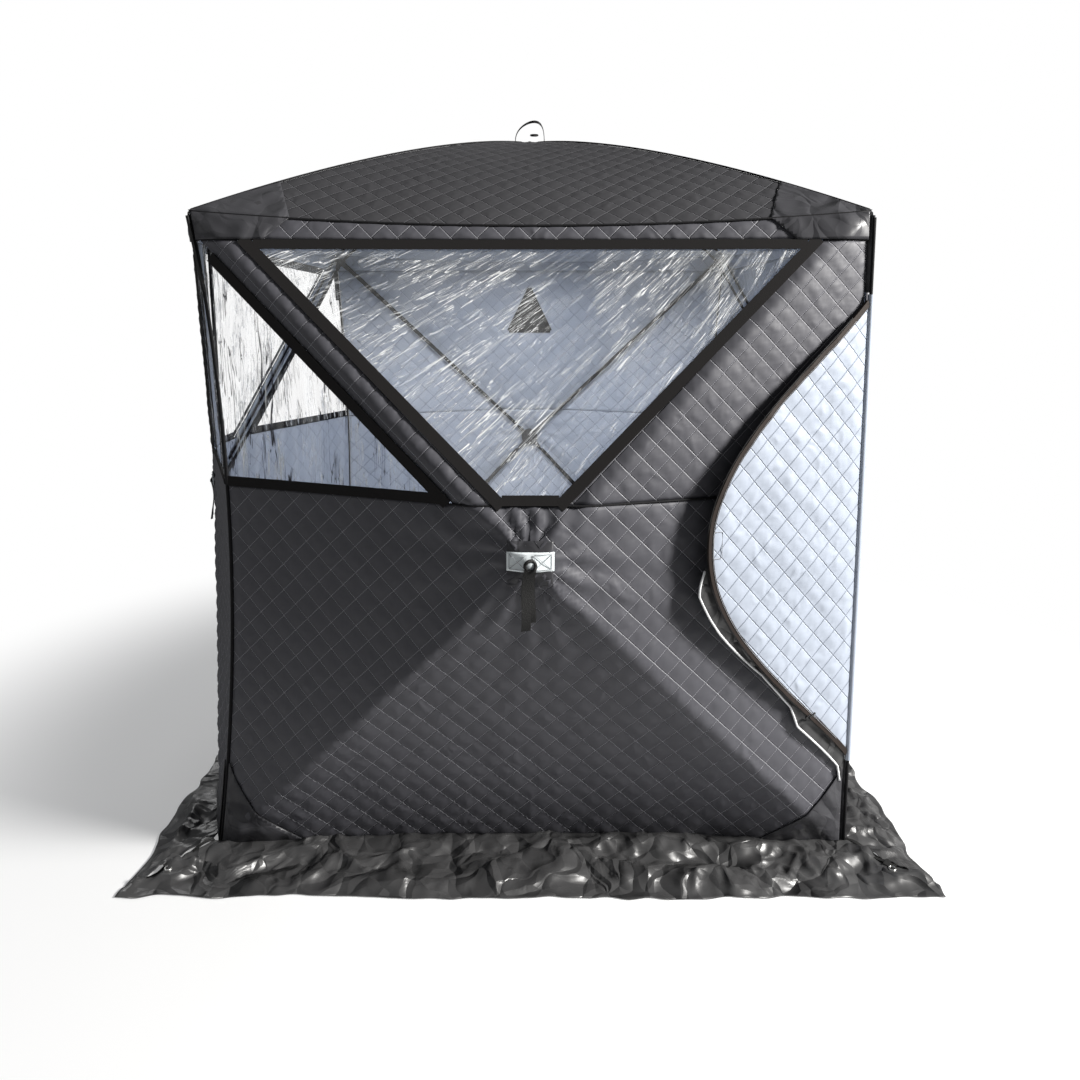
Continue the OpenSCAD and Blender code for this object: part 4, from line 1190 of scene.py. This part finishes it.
# Zip teeth stand along the binding's outer edge, each a small block
TOOTH_FACES = ([0, 1, 3, 2], [4, 6, 7, 5], [0, 4, 5, 1], [2, 3, 7, 6], [0, 2, 6, 4], [1, 5, 7, 3])
tooth_x, tooth_z = door_edge(np.linspace(0.05, 0.95, 420), 0.0015)
line = np.column_stack([tooth_x, np.full(420, 0.0030), tooth_z])
teeth_points, teeth_faces = [], []
for a, b in zip(line, line[1:]):
    way = (b - a) / np.linalg.norm(b - a)
    out = np.array([way[2], 0, -way[0]])
    base = len(teeth_points)
    teeth_points += [a + (b - a) * share + out * move + [0, y, 0] for share in (0.15, 0.65)
                     for move in (-0.002, 0.0022) for y in (-0.0011, 0.0011)]
    teeth_faces += [[base + corner for corner in face] for face in TOOTH_FACES]
add_piece("door_zip_teeth", np.array(teeth_points), teeth_faces, [NYLON], "nylon", smooth=False, **ON_DOOR)
print("teeth", len(teeth_faces) // 6)

# %% Draught flap and its piping
FLAP_V0, FLAP_V1, FLAP_Y, FLAP_IN = -0.045, 0.455, -0.0048, 0.008
FLAP_WIDTHS = ((FLAP_V0, 0.2), (0.0, 0.9), (0.115, 1.0), (0.145, 0.28), (0.22, 0.12), (0.33, 0.75),
               (0.41, 1.0), (FLAP_V1, 0.0))
v = np.linspace(FLAP_V0, FLAP_V1, 110)
below = np.minimum(v, 0)                    # the flap runs straight on below the door's lower tip
(near_x, near_z), (far_x, far_z) = door_edge(np.maximum(v, 0.004)), door_edge(np.maximum(v, 0.004), 1.0)
taper = np.interp(v, *zip(*FLAP_WIDTHS))
flap_rows = []
for share in np.linspace(0, 1, 9):
    move = -FLAP_IN + (FLAP_W - 0.004 + FLAP_IN) * share * (0.22 + 0.78 * taper)
    x = near_x + (far_x - near_x) * move - 0.25 * below
    z = near_z + (far_z - near_z) * move + 1.35 * below
    share = share * (FLAP_W - 0.004 + FLAP_IN) / (FLAP_W + 0.004)
    curl = 0.0035 * share * value_noise(x, z, 0.09, 81) + 0.0012 * share * crease_noise(x, z, 0.03, 82, 0.3)
    flap_rows.append(np.column_stack([np.maximum(x, LEAF_START), FLAP_Y - 0.002 * share + curl, z]))
flap = np.concatenate(flap_rows)
shell_mesh("door_draught_flap", flap + [0, 0.0008, 0], flap - [0, 0.0008, 0], flipped(row_faces(109, 8)),
           flap[:, [0, 2]], [SKIRT] * 3, "plain_cloth", nodes=["door_flap"], **ON_DOOR)
tube("door_flap_edge", flap_rows[-1][1:-1] + [0, 0.0006, 0], 0.0030, WHITE_PIPING, 8, "white_piping",
     nodes=["door_flap_piping"], **ON_DOOR)
print("flap points", len(flap))

# %% Door stitching, slider and pull
TAB = ((0.442, 0.862), (0.468, 0.862), (0.468, 0.930), (0.442, 0.930), (0.442, 0.862))
for (x0, z0), (x1, z1) in zip(TAB, TAB[1:]):
    tube("tab_stitch", on_leaf(np.linspace(x0, x1, 8), np.linspace(z0, z1, 8), 0.0050), 0.0007, THREAD, 6,
         "binding", **ON_DOOR)
stitch_x, stitch_z = door_edge(np.linspace(0.05, 0.95, 160), -BIND_W + 0.003)
tube("binding_stitch", on_leaf(np.maximum(stitch_x, LEAF_START + 0.002), stitch_z, 0.0056), 0.0006, THREAD, 6,
     "binding", **ON_DOOR)

slider_x, slider_z = (float(c) for c in door_edge(0.115, 0.002))
bpy.ops.object.select_all(action="DESELECT")
bpy.ops.mesh.primitive_cube_add(size=1)
slider = bpy.context.object
slider.name = "door_zip_slider"
slider_place = Matrix.Translation((slider_x, 0.0045, slider_z)) @ Matrix.Rotation(math.radians(-58), 4, "Y")
slider.data.transform(slider_place @ Matrix.Diagonal((0.010, 0.007, 0.016, 1)))
bpy.ops.object.mode_set(mode="EDIT")
bpy.ops.mesh.select_all(action="SELECT")
bpy.ops.mesh.bevel(offset=0.0018, segments=2)
bpy.ops.object.mode_set(mode="OBJECT")
slider.data.materials.append(NYLON)
slider.data.transform(TO_DOOR)
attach(slider, "door")
pull = on_leaf(slider_x - np.linspace(0, 0.022, 8), slider_z + np.linspace(0, 0.010, 8), 0.0075)
tube("door_zip_pull", pull, 0.0022, WEBBING, 6, "webbing", **ON_DOOR)
print("slider at", slider_x, slider_z)

# %% [markdown]
# ## The skirt
# The skirt is a border of thin coated cloth that lies on the ground, so that snow can be heaped on it.
# It is crumpled: sharp ridges of a folded noise, highest near the wall and falling to the ground at
# the outer edge. Each side's piece is cut to the corner, and the front one is a little longer.

# %% Skirt sheets
SKIRT_CELLS = (260, 36)                     # along the wall and away from it


def skirt_sheet(name, side, node, seed, longer=0.0):
    along, away = (np.linspace(low, 1, cells + 1) for low, cells in zip((-1, 0), SKIRT_CELLS))
    s, w = (a.ravel() for a in np.meshgrid(along, away))
    hem_half, outer_half = BOTTOM_HALF + 0.012, BOTTOM_HALF + SKIRT_W + 0.004
    x = s * np.minimum(hem_half + (outer_half + longer - hem_half) * w, outer_half)
    hem = BOTTOM_HALF - HEM_IN * (1 - s ** 2) + 0.009 + 0.010 * np.abs(s) ** 6
    uneven = 0.010 * value_noise(x, 0 * x, 0.13, seed) + 0.006 * value_noise(x, 0 * x, 0.05, seed + 1)
    outer = BOTTOM_HALF + SKIRT_W + longer + uneven * np.clip((1 - np.abs(s)) / 0.05, 0, 1) - 0.006
    y = -(hem + (outer - hem) * w)
    warp_x, warp_y = 0.06 * value_noise(x, y, 0.17, seed + 6), 0.04 * value_noise(x, y, 0.13, seed + 7)
    fold = np.maximum(crease_noise(x * 0.40 + warp_x, y * 1.3 + warp_y, 0.115, seed + 2, 0.20), 0)
    cross = np.maximum(crease_noise(x * 0.9 + warp_y, y * 0.7 + warp_x, 0.085, seed + 3, 0.9), 0)
    small = np.maximum(crease_noise(x + warp_x, y + warp_y, 0.034, seed + 4, 0.4), 0)
    height = (0.0025 + 0.020 * fold + 0.013 * cross + 0.0060 * small) * np.clip((1 - w) / 0.30, 0.10, 1)
    roll = np.exp(-(w / 0.30) ** 2)
    height = height * (1 - 0.5 * roll) + 0.024 * roll * (0.80 + 0.20 * cross)
    pull = 0.008 * value_noise(x, y, 0.05, seed + 5) * np.sin(math.pi * w)
    top = np.column_stack([x + pull, y + pull, np.maximum(height, 0.0035)])
    faces = flipped(row_faces(*SKIRT_CELLS))
    piece = shell_mesh(name, top, top - [0, 0, 0.0014], faces, np.column_stack([x, y]), [SKIRT] * 3,
                       "skirt_cloth", turn=turned(side), nodes=[node])


for skirt_name, side, seed, longer in (("front", FRONT, 101, 0.036), ("right", RIGHT, 121, 0.0),
                                       ("back", BACK, 141, 0.0), ("left", LEFT, 161, 0.0)):
    skirt_sheet("skirt_sheet_" + skirt_name, side, "skirt_" + skirt_name, seed, longer)
print("skirt laid")

# %% Bottom corner patches
CORNER_UP, CORNER_ALONG = 0.235, 0.245


def corner_patch_edge(z, bow):
    share = min(max(z / CORNER_UP, 0), 1)
    return right_of(bow)(z) - CORNER_ALONG * (1 - share) ** 1.35 - 0.004


for wall_name, side, bows in WALLS:
    for hand in (-1, 1):
        bow = bows[hand > 0]
        outline = mirrored(lambda z: corner_patch_edge(z, bow), right_of(bow), hand)
        places, faces, margins = grid_over(*outline, 0.003, CORNER_UP, step=0.010)
        x, z = places[:, 0], places[:, 1]
        rise = 0.005 * crease_noise(x, z, 0.06, 91 + side, 0.7) * np.clip(margins / 0.03, 0, 1)
        lay_on_wall("corner_patch", side, bows, x, z, faces, 0.0070 + rise, 0.0030 + rise,
                    [PLAIN, PLAIN, SEAM], "plain_cloth")
print("corner patches made")

# %% [markdown]
# ## The frame's own pieces
# The hubs, poles, corner cups and the door's sleeve stay as the frame made them and only get a finish.
# The sleeve's lining shows only on the side that the folded door turns outwards; the rest is black.

# %% Finish of the frame's pieces
def dress(material, *nodes):
    for node in nodes:
        mesh = frame["nodes"][node].data
        mesh.materials.clear()
        mesh.materials.append(material)


dress(NYLON, "roof_hub", "front_hub", "right_hub", "back_hub", "left_hub", "top_corner_cups",
      "bottom_corner_cups")
dress(FIBREGLASS, "roof_poles", "front_poles", "right_poles", "back_poles", "left_poles")

LEAN_SHARE = (TOP_HALF - BOTTOM_HALF) / CORNER_H
tree = SLEEVE_LINING.node_tree
split = add_node(tree, "SeparateXYZ", {0: object_vector(tree)}).outputs
from_hinge = math_node(tree, "MULTIPLY_ADD", split["Z"], LEAN_SHARE, split["Y"])
inner_side = math_node(tree, "GREATER_THAN", from_hinge, HINGE_AT.y - 0.4 * SLEEVE_R)
two_tone = mixed_colour(tree, inner_side, WHITE_LINING, BLACK_CLOTH)
give(tree, tree.nodes["Principled BSDF"], {"Base Color": two_tone})
dress(SLEEVE_LINING, "door_sleeve")
print("frame's pieces dressed")

# %% [markdown]
# The door's corner has a straight piping that stands a little off the corner, and above and below the
# door a narrow web of cloth joins it to the walls.

# %% The door's corner
def hinge_point(height, toward=0.0):
    """A place on the hinge's line, moved towards the corner by a share of the way."""
    lean = LEAN_SHARE * height
    line = np.array([HINGE_AT.x + lean, HINGE_AT.y - lean, height])
    reach = float(edge_x(height, 0.0)) - 0.004
    return line + (np.array([reach, -reach, height]) - line) * toward


piping_line = [hinge_point(h) for h in np.linspace(0.004, CORNER_H - 0.018, 40)]
tube("door_piping", piping_line, 0.0048, SEAM, 10, "plain_cloth", nodes=["door_corner_piping"])
for low, high in ((0.006, DOOR_Z0 - 0.004), (DOOR_Z1 + 0.004, CORNER_H - 0.012)):
    middle = [hinge_point(h, 0.5) for h in np.linspace(low, high, 12)]
    strip("door_corner_web", middle, (1, -1, 0), 0.016, 0.0060, PLAIN, "plain_cloth")
print("door's corner made")

# %% [markdown]
# ## The vent
# Fine mesh fills the triangle in the back wall, with tape round its edges inside and out. A flap of
# plain cloth stands off it outside and keeps snow out; it is held out at its foot.

# %% Vent
def vent_grid(more, low, high, step):
    """A grid over the vent's triangle, made wider on both sides by more."""
    def wide(z):
        return max(vent_half(z), 0.001) + more

    places, faces, margins = grid_over(lambda z: -wide(z), wide, low, high, step)
    return places[:, 0], places[:, 1], faces


VENT_TOP = VENT_Z + VENT_H
x, z, faces = vent_grid(0.006, VENT_Z - 0.006, VENT_TOP - 0.002, 0.012)
lay_on_wall("vent_mesh_sheet", BACK, PLAIN_BOWS, x, z, faces, -0.0036, 0.0008, [MESH_CLOTH] * 3, "mesh_cloth",
            ["back_vent_mesh"])
VENT_CORNERS = ((-VENT_W / 2, VENT_Z), (VENT_W / 2, VENT_Z), (0, VENT_TOP))
for start, end in zip(VENT_CORNERS, VENT_CORNERS[1:] + VENT_CORNERS[:1]):
    x, z = (np.linspace(start[axis], end[axis], 10) for axis in (0, 1))
    for lift in (0.005, -0.0105):
        strip("vent_edge", on_wall(x, z, PLAIN_BOWS, lift), (start[1] - end[1], 0, end[0] - start[0]), 0.018,
              0.0016, HOOK_TAPE, "hook_tape", turn=turned(BACK))

x, z, faces = vent_grid(0.014, VENT_Z - 0.012, VENT_TOP + 0.006, 0.010)
drop = np.clip((VENT_TOP - z) / VENT_H, 0, 1)
centre = np.clip(1 - np.abs(x) / (VENT_W / 2 + 0.014), 0, 1)
stand = 0.045 * drop ** 1.2 * centre ** 0.7 + 0.0015 * crease_noise(x, z, 0.05, 95, 0.4)
lay_on_wall("vent_hood", BACK, PLAIN_BOWS, x, z, faces, 0.0083 + stand, 0.0016, [PLAIN] * 3, "plain_cloth")
print("vent made")

# %% [markdown]
# ## Small fittings
# A grommet in each of the skirt's corners, ties at the corners' feet, and short straps and a toggle
# at the top corners. All are small, so a ring, a few strips and one short tube do for them.

# %% Small fittings
for name, sx, sy in (("front_right", 1, -1), ("front_left", -1, -1),
                     ("back_right", 1, 1), ("back_left", -1, 1)):
    bpy.ops.object.select_all(action="DESELECT")
    bpy.ops.mesh.primitive_torus_add(major_radius=0.0085, minor_radius=0.0026,
                                     major_segments=28, minor_segments=8)
    grommet = bpy.context.object
    grommet.name = "grommet_" + name
    grommet.data.transform(Matrix.Translation((sx * 0.955, sy * 0.985, 0.0175)))
    grommet.data.materials.append(STEEL)
    grommet.data.polygons.foreach_set("use_smooth", [True] * len(grommet.data.polygons))

for sx, sy in ((-1, -1), (-1, 1), (1, 1), (1, -1)):
    t = np.linspace(0, 1, 16)
    across = (sx * 0.7, -sy * 0.7, 0.1)
    tie_line = np.column_stack([sx * (0.872 + 0.075 * t), sy * (0.872 + 0.085 * t),
                                0.030 - 0.008 * t + 0.006 * np.sin(6 * t)])
    strip("corner_tie", tie_line, across, 0.010, 0.0016, WEBBING, "webbing")
    tab = tie_line[-1] + np.column_stack([sx * 0.018 * t, sy * 0.024 * t, -0.002 * t])
    strip("corner_tie_tab", tab, across, 0.024, 0.002, WEBBING, "webbing")

t = np.linspace(0, 1, 24)
for sx, sy, length, reach in ((-1, -1, 0.20, 0.03), (-1, 1, 0.20, 0.02), (1, 1, 0.18, 0.02)):
    hanging = np.column_stack([sx * (0.904 - reach * t), sy * (0.904 - 0.03 * t), 1.738 - length * t])
    strip("corner_strap", hanging, (sx * 0.7, -sy * 0.7, 0.0), 0.014, 0.0018, WEBBING, "webbing")
toggle = np.array([(0.899, -0.893, z) for z in np.linspace(1.594, 1.546, 8)])
tube("corner_toggle", toggle, 0.006, NYLON, 10, "nylon")
print("fittings made")

# %% [markdown]
# ## What moves with what
# The door's pieces already ride on the door. All else rides on the shelter.

# %% Riding
for piece in list(bpy.context.scene.objects):
    if piece.type == "MESH" and piece.parent is None and not piece.get("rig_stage"):
        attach(piece, "shelter")
print("pieces", len(bpy.data.meshes))
